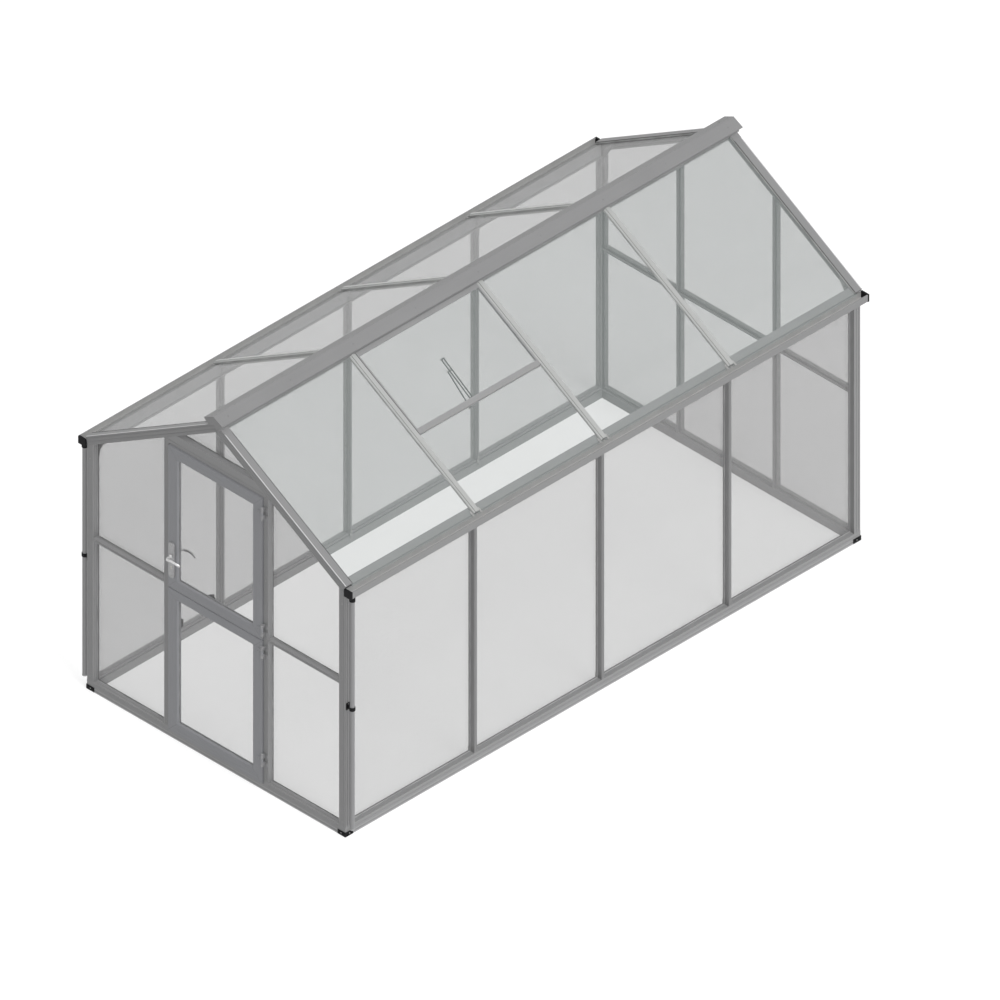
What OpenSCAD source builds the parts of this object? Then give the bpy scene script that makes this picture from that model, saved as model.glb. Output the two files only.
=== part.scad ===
// Glass greenhouse with a gable roof, aluminium bars and a split entrance door.
// The door gable faces -Y, the ridge runs along Y and the ground is at Z = 0.

/* [Overall] */
// Width over the two gutters
overall_w = 2160; // [2100:2:2220]
// Length over the base rails
base_l = 4080; // [3900:2:4260]
// Height of the roof edge at the eaves
eave_h = 1720; // [1700:1:1740]
// Height to the top of the ridge cap
ridge_h = 2380; // [2340:1:2420]
// How far a gutter stands out from the wall
gutter_out = 58; // [54:1:60]
// Number of bays along each side
bays = 4; // [4:1:5]

/* [Frame bars] */
// Side of the square corner post
post_w = 50; // [48:1:54]
// Height of the base rail
base_h = 64; // [60:1:68]
// Width of a wall bar's or mid rail's outer face
bar_w = 20; // [18:1:24]
// Depth of a wall bar or mid rail
bar_d = 50; // [46:1:50]
// Width of a roof bar's outer flange
roof_bar_w = 44; // [38:1:50]
// Depth of a gable rafter
rafter_d = 52; // [48:1:56]
// How far the wall glass lies behind the outer faces
flange = 34; // [30:1:35]

/* [Door] */
// Width of both door leaves
leaf_w = 740; // [720:2:760]
// Depth of a leaf's frame
leaf_d = 35; // [32:1:36]
// Width of a leaf's stiles and rails
stile_w = 66; // [62:1:76]
// Height of the two rails that meet at the split
meet_w = 54; // [50:1:66]
// Height of the lower leaf's bottom edge
leaf_z0 = 48; // [48:1:52]
// Height of the split between the leaves
split_z = 1027; // [980:1:1060]
// Gap between the leaves
split_gap = 10; // [8:1:14]
// Height of the upper leaf's top edge
leaf_top = 1995; // [1960:1:2000]
// Height of the lever above the ground
lever_z = 1255; // [1215:1:1300]
// Length of the lever from its spindle
lever_l = 105; // [90:1:115]

/* [Glass and pipes] */
// Thickness of the glass
glass_t = 4; // [3:0.5:4]
// Radius of a downpipe
pipe_r = 14; // [13:0.5:15]
// Wall thickness of a downpipe
pipe_t = 2; // [1.5:0.25:3]

/* [Hidden] */
$fn = 48;
eps = 0.5;                              // working gap round glass and between cut ends
bite = 10;                              // how far glass reaches in behind a flange
wall_x = overall_w / 2 - gutter_out;    // outer face of the side walls
gable_y = base_l / 2 - 3;               // outer face of the gables
cap_front = 23;                         // overhang of the ridge cap at the door gable
cap_back = 18;                          // overhang of the ridge cap at the rear gable
lever_front = 68;                       // reach of the lever in front of the gable
shift_y = (lever_front - cap_back) / 2; // puts the origin under the middle of the whole

// Roof plane: the top faces of rafters and roof bars lie in it.
eave_x = wall_x + 8;
cap_rise = 55;
ridge_z = ridge_h - cap_rise;
pitch = atan((ridge_z - eave_h) / eave_x);
eave_u = eave_x / cos(pitch);
roof_bar_d = 32;
roof_flange = 8;                        // the roof glass lies just below the bars' flanges
roof_glass_w = -roof_flange - eps - glass_t;
beam_half = 30;                         // half the width of the ridge beam
strip_half = 9;                         // raised strip on top of a roof bar
strip_h = 4;
vent_x = 540;                           // the roof vent ends here, out from the ridge
vent_gap = 2;
sash_w = 10;
sash_bite = 6;                          // how far the vent's glass reaches into the sash
sill_w = 34;

// Walls
inner = post_w - bite;                  // the solid core of a post ends here
stem_w = 8;                             // width of a bar behind the glass
front_rail_z = split_z + 13;            // the door gable's mid rails
rear_rail_z = split_z - 12;             // the rear gable's mid rails
beam_z = 1645;                          // underside of the eave beam
beam_d = inner;
gusset_t = 3;
bay_l = 2 * (gable_y - post_w / 2) / bays;
wall_bars = [for (i = [1 : bays - 1]) -gable_y + post_w / 2 + i * bay_l];
rear_bar_x = 380;
rafter_v = 55;                          // width of a gable rafter
rafter_lip = 5;                         // rafters stand this far proud of the gable

// Roof vent: the clear space in the second bay of the right slope
vent_y0 = wall_bars[0] + roof_bar_w / 2 + vent_gap;
vent_y1 = wall_bars[1] - roof_bar_w / 2 - vent_gap;
vent_u0 = (beam_half + 17) / cos(pitch);
vent_u1 = vent_x / cos(pitch) + sill_w / 2;

// Doorway
door_gap = 7;
jamb_x = leaf_w / 2 + door_gap;         // inner face of a door post
jamb_w = 34;
jamb_d = 45;
sill_h = 40;                            // the base rail is lower under the door
lintel_z = leaf_top + 10;
lintel_h = 75;
leaf_y = -gable_y - 10;                 // front face of the leaves
hinge_x = jamb_x + 2;
hinge_y = leaf_y - 6;
pin_r = 4;
knuckle_r = 8;
hinge_h = 26;                           // height of one knuckle
hinge_plate_t = 3;
upper_hinges = [split_z + 75, leaf_top - 95];
lower_hinges = [leaf_z0 + 165, split_z - 75];
spindle_x = -leaf_w / 2 + 32;
handle_plate_t = 8;
fit = 0.05;                             // radial play of pins and spindle

// Gutter and downpipe
gutter_t = 3;
gutter_z = 1660;
gutter_h = 45;
pipe_x = wall_x + 36;
pipe_y = -gable_y + 19;
pipe_z0 = 62;

// Height of the roof plane, lowered by w square to the slope, at a distance x from the ridge line
function roof_z(x, w = 0) = ridge_z - abs(x) * tan(pitch) + w / cos(pitch);

// The whole is drawn about the middle of its base and then set over its origin.
module in_place() translate([0, shift_y, 0]) children();

// Frames to draw in: x runs along the wall, y inwards from its outer face, z up.
module front_wall() translate([0, -gable_y, 0]) children();
module rear_wall() mirror([0, 1, 0]) front_wall() children();
module right_wall() translate([wall_x, 0, 0]) rotate([0, 0, 90]) children();
module left_wall() mirror([1, 0, 0]) right_wall() children();

// x runs down the slope from the ridge line, y along the house, z square to the slope.
module right_slope() translate([0, 0, ridge_z]) rotate([0, pitch, 0]) children();
module left_slope() mirror([1, 0, 0]) right_slope() children();

// Extrudes an outline drawn in (y, z) along x.
module along_x(x0, x1) translate([x0, 0, 0]) rotate([90, 0, 90]) linear_extrude(x1 - x0) children();

// Glazing bar: a deep outer part with two ribs in its face and a groove in each side, and a
// narrow stem behind the glass.
module bar_outline() {
    w = bar_w / 2;
    rib = w / 2;
    groove = flange - 10;
    difference() {
        union() {
            translate([-w, 0]) square([bar_w, flange]);
            translate([-stem_w / 2, 0]) square([stem_w, bar_d]);
        }
        for (side = [-1, 1]) {
            translate([side * rib - 1.5, -1]) square([3, 3]);
            translate([side * w - 1.5, groove]) square([3, 4]);
        }
    }
}

// Corner post: two ribbed flanges round a core, outer corner at the origin.
module post_outline() {
    difference() {
        union() {
            square([post_w, flange]);
            square([flange, post_w]);
            square([inner, inner]);
        }
        for (a = [14, 32]) {
            translate([a, -1]) square([4, 3]);
            translate([-1, a]) square([3, 4]);
        }
        for (a = [8, 22]) {
            translate([post_w - 2, a]) square([3, 4]);
            translate([a, post_w - 2]) square([4, 3]);
        }
        translate([-1, -1]) square([3, 3]);
    }
}

// Base rail: a box with a rebate for the glass and a drip groove outside.
module base_outline() {
    difference() {
        square([post_w, base_h]);
        translate([-1, 14]) square([3, 5]);
        translate([-1, 42]) square([3, 3]);
        translate([12, base_h - 2]) square([4, 3]);
    }
}

module base_rebate(x0, x1) {
    translate([x0, flange, base_h - bite]) cube([x1 - x0, post_w, bite * 2]);
}

// The side rails run through under the corner posts, so they are also cut for the gable glass.
module side_base_rail() {
    difference() {
        along_x(-gable_y, gable_y) base_outline();
        base_rebate(inner - gable_y, gable_y - inner);
        for (end = [0, 1]) mirror([end, 0, 0])
            translate([flange - gable_y, inner, base_h - bite]) cube([post_w, bite * 2, bite * 2]);
    }
}

module gable_base_rail() {
    half = wall_x - post_w;
    difference() {
        along_x(-half, half) base_outline();
        base_rebate(-half, half);
    }
}

module base_rail_front() {
    color("silver") in_place() front_wall() difference() {
        gable_base_rail();
        translate([-jamb_x, -1, sill_h]) cube([2 * jamb_x, post_w + 2, base_h]);
    }
}

module base_rail_rear() {
    color("silver") in_place() rear_wall() gable_base_rail();
}

module base_rail_left() {
    color("silver") in_place() left_wall() side_base_rail();
}

module base_rail_right() {
    color("silver") in_place() right_wall() side_base_rail();
}

// Copies a piece drawn in the right front corner to all four corners.
module at_corners() {
    for (mx = [0, 1], my = [0, 1]) mirror([mx, 0, 0]) mirror([0, my, 0]) children();
}

// Plastic shoe that wraps the foot of each corner.
module corner_feet() {
    leg = 62;
    skin = 3;
    foot_h = 30;
    color("#202224") in_place() at_corners() difference() {
        translate([wall_x + skin - leg, -gable_y - skin, 0]) cube([leg, leg, foot_h]);
        translate([wall_x - leg * 2, -gable_y, -1]) cube([leg * 2, leg * 2, foot_h + 2]);
    }
}

// Corner posts stand on the side base rails and are cut to the rafters at the top.
module corner_posts() {
    cut = 0.3;
    color("gray") in_place() at_corners() difference() {
        translate([wall_x, -gable_y, base_h]) mirror([1, 0, 0])
            linear_extrude(eave_h - base_h) post_outline();
        right_slope() translate([0, -gable_y - 20, -rafter_d + bite - cut])
            cube([eave_u * 1.1, post_w + 40, 200]);
        right_slope() translate([0, -gable_y - 20, -rafter_d - cut])
            cube([eave_u * 1.1, 20 + flange + cut, 200]);
    }
}

module side_wall_bars() {
    for (y = wall_bars) {
        translate([y, 0, base_h]) linear_extrude(beam_z - base_h) bar_outline();
        translate([y - stem_w / 2, flange, base_h - bite])
            cube([stem_w, bar_d - flange, beam_z + bite * 2 - base_h]);
    }
}

module wall_bars_left() {
    color("gray") in_place() left_wall() side_wall_bars();
}

module wall_bars_right() {
    color("gray") in_place() right_wall() side_wall_bars();
}

// Eave beam: carries the lower edge of the roof glass on its sloping top.
module side_eave_beam() {
    seat = roof_glass_w - eps;
    half = gable_y - post_w;
    along_x(-half, half) polygon([
        [0, beam_z], [flange, beam_z], [flange, beam_z + bite], [beam_d, beam_z + bite],
        [beam_d, roof_z(wall_x - beam_d, seat)], [0, roof_z(wall_x, seat)]
    ]);
}

module eave_beam_left() {
    color("silver") in_place() left_wall() side_eave_beam();
}

module eave_beam_right() {
    color("silver") in_place() right_wall() side_eave_beam();
}

// Gutter: an open channel on the outside of the eave beam, with a bead along its lip.
module gutter_outline() {
    back = -0.3;
    front = -gutter_out;
    bead = 6;
    polygon([
        [back, gutter_z], [back, gutter_z + gutter_h - 5], [back - gutter_t, gutter_z + gutter_h - 5],
        [back - gutter_t, gutter_z + gutter_t], [front + gutter_t, gutter_z + gutter_t],
        [front + gutter_t, gutter_z + gutter_h - bead], [front + bead, gutter_z + gutter_h - bead],
        [front + bead, gutter_z + gutter_h], [front, gutter_z + gutter_h], [front, gutter_z]
    ]);
}

module side_gutter() {
    difference() {
        along_x(-gable_y, gable_y) gutter_outline();
        translate([pipe_y, wall_x - pipe_x, gutter_z - 1]) cylinder(r = pipe_r - pipe_t, h = gutter_t + 2);
    }
}

module gutter_left() {
    color("silver") in_place() left_wall() side_gutter();
}

module gutter_right() {
    color("silver") in_place() right_wall() side_gutter();
}

// Plastic caps close the gutters; the two at the door end carry a spout for the downpipe.
module gutter_end_caps() {
    cap_t = 12;
    shoe_t = 4;
    spout_h = 34;
    spout_r = pipe_r + 4;
    color("#202224") in_place() {
        at_corners() translate([wall_x + 0.3, -gable_y - cap_t, gutter_z - shoe_t])
            cube([gutter_out - 0.3, cap_t, gutter_h + shoe_t]);
        for (mx = [0, 1]) mirror([mx, 0, 0]) difference() {
            union() {
                translate([wall_x + 12, -gable_y - cap_t, gutter_z - shoe_t])
                    cube([gutter_out - 16, cap_t + 38, shoe_t]);
                translate([pipe_x, pipe_y, gutter_z - spout_h]) cylinder(r = spout_r, h = spout_h);
            }
            translate([pipe_x, pipe_y, gutter_z - spout_h - 1])
                cylinder(r = pipe_r + fit, h = spout_h + 2);
        }
    }
}

// Downpipe: a round tube from the gutter's outlet to just above the ground.
module downpipe() {
    translate([pipe_x, pipe_y, pipe_z0]) difference() {
        cylinder(r = pipe_r, h = gutter_z - pipe_z0);
        translate([0, 0, -1]) cylinder(r = pipe_r - pipe_t, h = gutter_z - pipe_z0 + 2);
    }
}

module downpipe_left() {
    color("gray") in_place() mirror([1, 0, 0]) downpipe();
}

module downpipe_right() {
    color("gray") in_place() downpipe();
}

// Plastic clip that holds each downpipe to its corner post.
module pipe_clips() {
    clip_z = 890;
    clip_h = 22;
    color("#202224") in_place() for (mx = [0, 1]) mirror([mx, 0, 0]) difference() {
        union() {
            translate([wall_x, pipe_y - 7, clip_z - clip_h / 2]) cube([pipe_x - wall_x, 14, clip_h]);
            translate([wall_x, pipe_y - 14, clip_z - clip_h]) cube([5, 28, clip_h * 2]);
            translate([pipe_x, pipe_y, clip_z - clip_h / 2]) cylinder(r = pipe_r + 4, h = clip_h);
        }
        translate([pipe_x, pipe_y, clip_z - clip_h]) cylinder(r = pipe_r + fit, h = clip_h * 2);
    }
}

// Ridge cap: a wide capping with undercut edges that covers the meeting of the slopes.
module ridge_cap() {
    half = 72;
    neck = 44;
    fall = half / 2;
    seat = 0.3;
    color("silver") in_place() translate([0, -gable_y - cap_front, 0]) rotate([90, 0, 180])
        linear_extrude(2 * gable_y + cap_front + cap_back) polygon([
            [0, ridge_h], [half, ridge_h - fall], [half, ridge_h - fall - 5],
            [neck, roof_z(neck) + 14], [neck, roof_z(neck, seat)], [0, roof_z(0, seat)],
            [-neck, roof_z(neck, seat)], [-neck, roof_z(neck) + 14],
            [-half, ridge_h - fall - 5], [-half, ridge_h - fall]
        ]);
}

// Ridge beam: carries the upper ends of the roof bars between the two gables.
module ridge_beam() {
    half = gable_y + rafter_lip - rafter_v;
    foot = 2256;
    color("gray") in_place() translate([0, -half, 0]) rotate([90, 0, 180])
        linear_extrude(2 * half) polygon([
            [0, ridge_z], [beam_half, roof_z(beam_half)], [beam_half, foot + 12],
            [beam_half - 12, foot], [12 - beam_half, foot], [-beam_half, foot + 12],
            [-beam_half, roof_z(beam_half)]
        ]);
}

// Roof bar: a flange with a raised strip on top and a stem below the glass.
module slope_bars() {
    w = roof_bar_w / 2;
    stem_end = (wall_x - beam_d - eps + roof_flange * sin(pitch)) / cos(pitch);
    for (y = wall_bars) translate([0, y, 0]) {
        along_x(0, eave_u) polygon([
            [-w, -roof_flange], [-w, 0], [-strip_half, 0], [-strip_half, strip_h],
            [strip_half, strip_h], [strip_half, 0], [w, 0], [w, -roof_flange]
        ]);
        translate([0, -8, -roof_bar_d]) cube([stem_end, 16, roof_bar_d - roof_flange]);
    }
}

// Cuts what lies within x of the ridge line away.
module clear_of_ridge(x) {
    difference() {
        children();
        translate([-x, -gable_y - 100, 0]) cube([2 * x, 2 * gable_y + 200, ridge_h + 200]);
    }
}

module roof_bars_left() {
    color("lightgray") in_place() clear_of_ridge(beam_half + 15) left_slope() slope_bars();
}

module roof_bars_right() {
    color("lightgray") in_place() clear_of_ridge(beam_half + 15) right_slope() slope_bars();
}

// Gable rafter: a deep bar with a rebate for the gable glass below and a top flange for the roof's.
module rafter_outline() {
    front = flange + rafter_lip;
    difference() {
        polygon([
            [0, 0], [rafter_v, 0], [rafter_v, -roof_flange], [rafter_v - bite, -roof_flange],
            [rafter_v - bite, bite - rafter_d], [front, bite - rafter_d], [front, -rafter_d],
            [0, -rafter_d]
        ]);
        translate([-1, -12]) square([3, 3]);
        translate([-1, -34]) square([3, 3]);
    }
}

module rafter_pair() {
    for (side = [0, 1]) mirror([side, 0, 0]) difference() {
        right_slope() along_x(-60, eave_u) translate([-rafter_lip, 0]) rafter_outline();
        translate([-200 + eps, -50, ridge_z - 200]) cube([200, 200, 400]);
    }
}

module rafters_front() {
    color("gray") in_place() front_wall() rafter_pair();
}

module rafters_rear() {
    color("gray") in_place() rear_wall() rafter_pair();
}

// Underside of the rafter's flange and of its body along the gable
function flange_under(x) = roof_z(x, -rafter_d) - 0.3;
function body_under(x) = roof_z(x, bite - rafter_d) - 0.3;

// An upright in a gable, cut to the rafters, between x0 and x1 and y0 and y1.
module gable_upright(x0, x1, y0, y1, z0, top_x0, top_x1) {
    translate([0, y1, 0]) rotate([90, 0, 0]) linear_extrude(y1 - y0)
        polygon([[x0, z0], [x1, z0], [x1, top_x1], [x0, top_x0]]);
}

// Door post: a stop strip behind the leaves keeps the door from swinging in.
module door_post() {
    x1 = jamb_x + jamb_w;
    stop = 12;
    difference() {
        union() {
            gable_upright(jamb_x, x1, 0, flange, base_h, flange_under(jamb_x), flange_under(x1));
            gable_upright(jamb_x, x1 - bite, flange, jamb_d, base_h - bite,
                          flange_under(jamb_x), flange_under(x1 - bite));
            gable_upright(jamb_x - stop, jamb_x, jamb_d - 14, jamb_d, sill_h, lintel_z, lintel_z);
        }
        for (a = [8, 22]) translate([jamb_x + a, -1, 0]) cube([4, 3, ridge_h]);
    }
}

module door_post_left() {
    color("gray") in_place() front_wall() mirror([1, 0, 0]) door_post();
}

module door_post_right() {
    color("gray") in_place() front_wall() door_post();
}

// Lintel over the door, with its upper corners cut to the rafters.
module door_lintel() {
    top = lintel_z + lintel_h;
    end = jamb_x - eps;
    // the corner is cut from the point where the rafter comes down to the top edge
    corner_x = (ridge_z - rafter_d / cos(pitch) - 0.3 - top) / tan(pitch);
    color("gray") in_place() front_wall() difference() {
        translate([0, jamb_d, 0]) rotate([90, 0, 0]) linear_extrude(jamb_d) polygon([
            [-end, lintel_z], [end, lintel_z], [end, flange_under(end)], [corner_x, top],
            [-corner_x, top], [-end, flange_under(end)]
        ]);
        translate([-end - 1, flange, top - bite]) cube([2 * end + 2, jamb_d, bite * 2]);
        translate([-end - 1, -1, lintel_z + 20]) cube([2 * end + 2, 3, 4]);
    }
}

// Horizontal glazing rail between two uprights of a gable, of the same bar as the walls'.
module gable_rail(x0, x1, z) {
    along_x(x0, x1) translate([0, z]) rotate([0, 0, -90]) bar_outline();
}

// Mid rails: two beside the door and three across the rear gable.
module gable_mid_rails() {
    end = wall_x - post_w;
    color("gray") in_place() {
        front_wall() for (side = [0, 1]) mirror([side, 0, 0])
            gable_rail(jamb_x + jamb_w, end, front_rail_z);
        rear_wall() {
            for (side = [0, 1]) mirror([side, 0, 0])
                gable_rail(rear_bar_x + bar_w / 2, end, rear_rail_z);
            gable_rail(-rear_bar_x + bar_w / 2, rear_bar_x - bar_w / 2, rear_rail_z);
        }
    }
}

// Two uprights of the rear gable, from the base rail to the rafters.
module rear_gable_bars() {
    w = bar_w / 2;
    stem = stem_w / 2;
    color("gray") in_place() rear_wall() for (side = [0, 1]) mirror([side, 0, 0]) difference() {
        union() {
            gable_upright(rear_bar_x - w, rear_bar_x + w, 0, flange, base_h,
                          flange_under(rear_bar_x - w), flange_under(rear_bar_x + w));
            gable_upright(rear_bar_x - stem, rear_bar_x + stem, flange, bar_d, base_h - bite,
                          body_under(rear_bar_x - stem), body_under(rear_bar_x + stem));
        }
        for (a = [-w / 2, w / 2]) translate([rear_bar_x + a - 1.5, -1, 0]) cube([3, 3, ridge_h]);
    }
}

// Gusset plates tie each corner post to its rafter; a small plate stiffens the door-side rafter.
module gusset_plates() {
    t = gusset_t;
    seat = roof_glass_w - 1.5;
    post_in = wall_x - flange - eps;
    tip = wall_x - 128;
    under = beam_z - 2;
    beam_clear = wall_x - post_w - 2;
    color("darkgray") in_place() {
        at_corners() translate([0, -gable_y + inner + t, 0]) rotate([90, 0, 0]) linear_extrude(t)
            polygon([
                [post_in, 1575], [post_in, under], [beam_clear, under],
                [beam_clear, roof_z(beam_clear, seat)], [tip, roof_z(tip, seat)],
                [tip, roof_z(tip, seat) - 32], [post_in - 32, 1650], [post_in - 18, 1575]
            ]);
        translate([0, -gable_y + inner + t, 0]) rotate([90, 0, 0]) linear_extrude(t) polygon([
            [630, roof_z(630, seat)], [690, roof_z(690, seat)], [690, roof_z(690, seat) - 62],
            [630, roof_z(630, seat) - 62]
        ]);
    }
}

// Four panes between the posts and bars of a side wall.
module side_wall_glass() {
    end = gable_y - inner - gusset_t;
    stops = concat([-end], wall_bars, [end]);
    halves = concat([eps], [for (y = wall_bars) stem_w / 2 + eps], [eps]);
    z0 = base_h - bite + eps;
    for (i = [0 : bays - 1])
        translate([stops[i] + halves[i], flange + eps, z0])
            cube([
                stops[i + 1] - halves[i + 1] - stops[i] - halves[i], glass_t, beam_z + bite - eps - z0
            ]);
}

module glass_wall_left() {
    color("lightcyan", 0.35) in_place() left_wall() side_wall_glass();
}

module glass_wall_right() {
    color("lightcyan", 0.35) in_place() right_wall() side_wall_glass();
}

// A gable pane between x0 and x1 from z0 up to the rafters, with a peak if it spans the ridge.
module peaked_pane(x0, x1, z0) {
    peak = x0 < 0 && x1 > 0 ? [[0, body_under(0) - eps]] : [];
    translate([0, flange + eps + glass_t, 0]) rotate([90, 0, 0]) linear_extrude(glass_t)
        polygon(concat([[x0, z0], [x1, z0], [x1, body_under(x1) - eps]], peak,
                       [[x0, body_under(x0) - eps]]));
}

module square_pane(x0, x1, z0, z1) {
    translate([x0, flange + eps, z0]) cube([x1 - x0, glass_t, z1 - z0]);
}

// Panes of the door gable: two on each side of the door and one above the lintel.
module glass_front_gable() {
    x0 = jamb_x + jamb_w - bite + eps;
    x1 = wall_x - inner - eps;
    low = base_h - bite + eps;
    rail = stem_w / 2 + eps;
    top = lintel_z + lintel_h - bite + eps;
    // the pane above the lintel ends where it meets the rafters' underside
    peak_x = (ridge_z - rafter_d / cos(pitch) - 1 - top) / tan(pitch) - 12;
    color("lightcyan", 0.35) in_place() front_wall() {
        for (side = [0, 1]) mirror([side, 0, 0]) {
            square_pane(x0, x1, low, front_rail_z - rail);
            peaked_pane(x0, x1, front_rail_z + rail);
        }
        peaked_pane(-peak_x, peak_x, top);
    }
}

// Panes of the rear gable: three below the mid rails and three above.
module glass_rear_gable() {
    x0 = rear_bar_x + stem_w / 2 + eps;
    x1 = wall_x - inner - eps;
    x2 = rear_bar_x - stem_w / 2 - eps;
    low = base_h - bite + eps;
    rail = stem_w / 2 + eps;
    color("lightcyan", 0.35) in_place() rear_wall() {
        for (side = [0, 1]) mirror([side, 0, 0]) {
            square_pane(x0, x1, low, rear_rail_z - rail);
            peaked_pane(x0, x1, rear_rail_z + rail);
        }
        square_pane(-x2, x2, low, rear_rail_z - rail);
        peaked_pane(-x2, x2, rear_rail_z + rail);
    }
}

// Roof panes of one slope. The bay that holds the vent is glazed only below the vent's sill.
module slope_glass(vent_bay) {
    stops = concat([-gable_y - rafter_lip + rafter_v - bite], wall_bars,
                   [gable_y + rafter_lip - rafter_v + bite]);
    halves = concat([eps], [for (y = wall_bars) 8 + eps], [eps]);
    top_u = (beam_half + 1 - roof_glass_w * sin(pitch)) / cos(pitch);
    end_u = eave_u + 14;
    for (i = [0 : bays - 1]) {
        u0 = i == vent_bay ? (vent_x + sill_w / 2) / cos(pitch) + eps : top_u;
        translate([u0, stops[i] + halves[i], roof_glass_w])
            cube([end_u - u0, stops[i + 1] - halves[i + 1] - stops[i] - halves[i], glass_t]);
    }
}

module glass_roof_left() {
    color("lightcyan", 0.35) in_place() left_slope() slope_glass(-1);
}

module glass_roof_right() {
    color("lightcyan", 0.35) in_place() right_slope() slope_glass(1);
}

// Vent sash: a slim frame that lies between the bars and over the sill.
module vent_frame() {
    color("silver") in_place() right_slope() difference() {
        translate([vent_u0, vent_y0, -12]) cube([vent_u1 - vent_u0, vent_y1 - vent_y0, 14]);
        translate([vent_u0 + 24, vent_y0 + sash_w, -20])
            cube([vent_u1 - vent_u0 - 24 - sill_w, vent_y1 - vent_y0 - 2 * sash_w, 40]);
        translate([vent_u0 + 14, vent_y0 + sash_w - sash_bite, -8])
            cube([vent_u1 - vent_u0 - 34, vent_y1 - vent_y0 - 2 * (sash_w - sash_bite), 6]);
    }
}

module vent_glass() {
    edge = sash_w - sash_bite + eps;
    color("lightcyan", 0.35) in_place() right_slope()
        translate([vent_u0 + 14 + eps, vent_y0 + edge, -7])
            cube([vent_u1 - vent_u0 - 34 - 2 * eps, vent_y1 - vent_y0 - 2 * edge, glass_t]);
}

// Sill: a cross rail between the stems of the roof bars that the closed vent rests on.
module vent_sill() {
    u = vent_x / cos(pitch);
    y0 = wall_bars[0] + 8 + eps;
    y1 = wall_bars[1] - 8 - eps;
    color("gray") in_place() right_slope()
        translate([u - sill_w / 2, y0, -roof_bar_d]) cube([sill_w, y1 - y0, roof_bar_d - 12.5]);
}

// Flat bar from one point of the slope's frame to another, in the plane of constant y.
module flat_bar(u0, w0, u1, w1, y, width = 10, thick = 4) {
    l = norm([u1 - u0, w1 - w0]);
    translate([u0, y, w0]) rotate([0, -atan2(w1 - w0, u1 - u0), 0])
        translate([-width / 2, -thick / 2, -width / 2]) cube([l + width, thick, width]);
}

// Vent stay: two long arms and a strut on one bracket, folded under the vent they push open.
module vent_stay() {
    u = vent_x / cos(pitch);
    y = -515;
    reach = 300;
    joint = u - reach * 0.74;
    color("dimgray") in_place() right_slope() {
        translate([u - 14, y - 26, -roof_bar_d - 54]) cube([28, 46, 54]);
        for (dy = [-9, 9]) flat_bar(u - 10, -roof_bar_d - 10, u - reach, -26, y + dy, 9, 3);
        translate([u - reach, y - 11, -26]) rotate([-90, 0, 0]) cylinder(r = 5, h = 22);
        flat_bar(u - 4, -roof_bar_d - 46, joint, -34, y - 20, 8);
        translate([joint, y - 23, -34]) rotate([-90, 0, 0]) cylinder(r = 4, h = 34);
    }
}

// Fixed halves of the hinges, with their pins, on the right door post.
module door_hinges() {
    color("gray") in_place() for (z = concat(upper_hinges, lower_hinges)) translate([0, 0, z]) {
        translate([hinge_x, hinge_y, -1.5 * hinge_h - 1]) cylinder(r = pin_r, h = 3 * hinge_h + 2);
        for (k = [-1, 1]) translate([hinge_x, hinge_y, k * (hinge_h + 1) - hinge_h / 2]) {
            cylinder(r = knuckle_r, h = hinge_h);
            cube([knuckle_r, -gable_y - hinge_y, hinge_h]);
            translate([0, -gable_y - hinge_y - hinge_plate_t, 0]) cube([30, hinge_plate_t, hinge_h]);
        }
    }
}

// Moving half of a hinge: a knuckle with a bore and a plate on the leaf's front face.
module leaf_knuckle(z) {
    translate([hinge_x, hinge_y, z - hinge_h / 2]) difference() {
        union() {
            cylinder(r = knuckle_r, h = hinge_h);
            translate([-44, leaf_y - hinge_y - hinge_plate_t, 0]) cube([44, hinge_plate_t, hinge_h]);
        }
        translate([0, 0, -1]) cylinder(r = pin_r + fit, h = hinge_h + 2);
    }
}

// Frame of a leaf: stiles and rails round one pane, held in a groove.
module leaf_frame(z0, z1, bottom_w, top_w) {
    half = leaf_w / 2;
    opening = z1 - z0 - bottom_w - top_w;
    translate([-half, leaf_y, z0]) difference() {
        cube([leaf_w, leaf_d, z1 - z0]);
        translate([stile_w, -1, bottom_w]) cube([leaf_w - 2 * stile_w, leaf_d + 2, opening]);
        translate([stile_w - bite, 14, bottom_w - bite])
            cube([leaf_w - 2 * (stile_w - bite), 6, opening + 2 * bite]);
    }
}

module leaf_glass(z0, z1, bottom_w, top_w) {
    side = stile_w - bite + eps;
    low = bottom_w - bite + eps;
    translate([-leaf_w / 2 + side, leaf_y + 15, z0 + low])
        cube([leaf_w - 2 * side, glass_t, z1 - z0 - low - top_w + bite - eps]);
}

module upper_leaf_frame() {
    color("gray") in_place() difference() {
        union() {
            leaf_frame(split_z + split_gap / 2, leaf_top, meet_w, stile_w);
            for (z = upper_hinges) leaf_knuckle(z);
        }
        translate([spindle_x, leaf_y - 1, lever_z]) rotate([-90, 0, 0])
            cylinder(r = pin_r + fit, h = leaf_d + 2);
    }
}

module upper_leaf_glass() {
    color("lightcyan", 0.35) in_place()
        leaf_glass(split_z + split_gap / 2, leaf_top, meet_w, stile_w);
}

module lower_leaf_frame() {
    color("gray") in_place() {
        leaf_frame(leaf_z0, split_z - split_gap / 2, stile_w, meet_w);
        for (z = lower_hinges) leaf_knuckle(z);
    }
}

module lower_leaf_glass() {
    color("lightcyan", 0.35) in_place()
        leaf_glass(leaf_z0, split_z - split_gap / 2, stile_w, meet_w);
}

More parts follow.
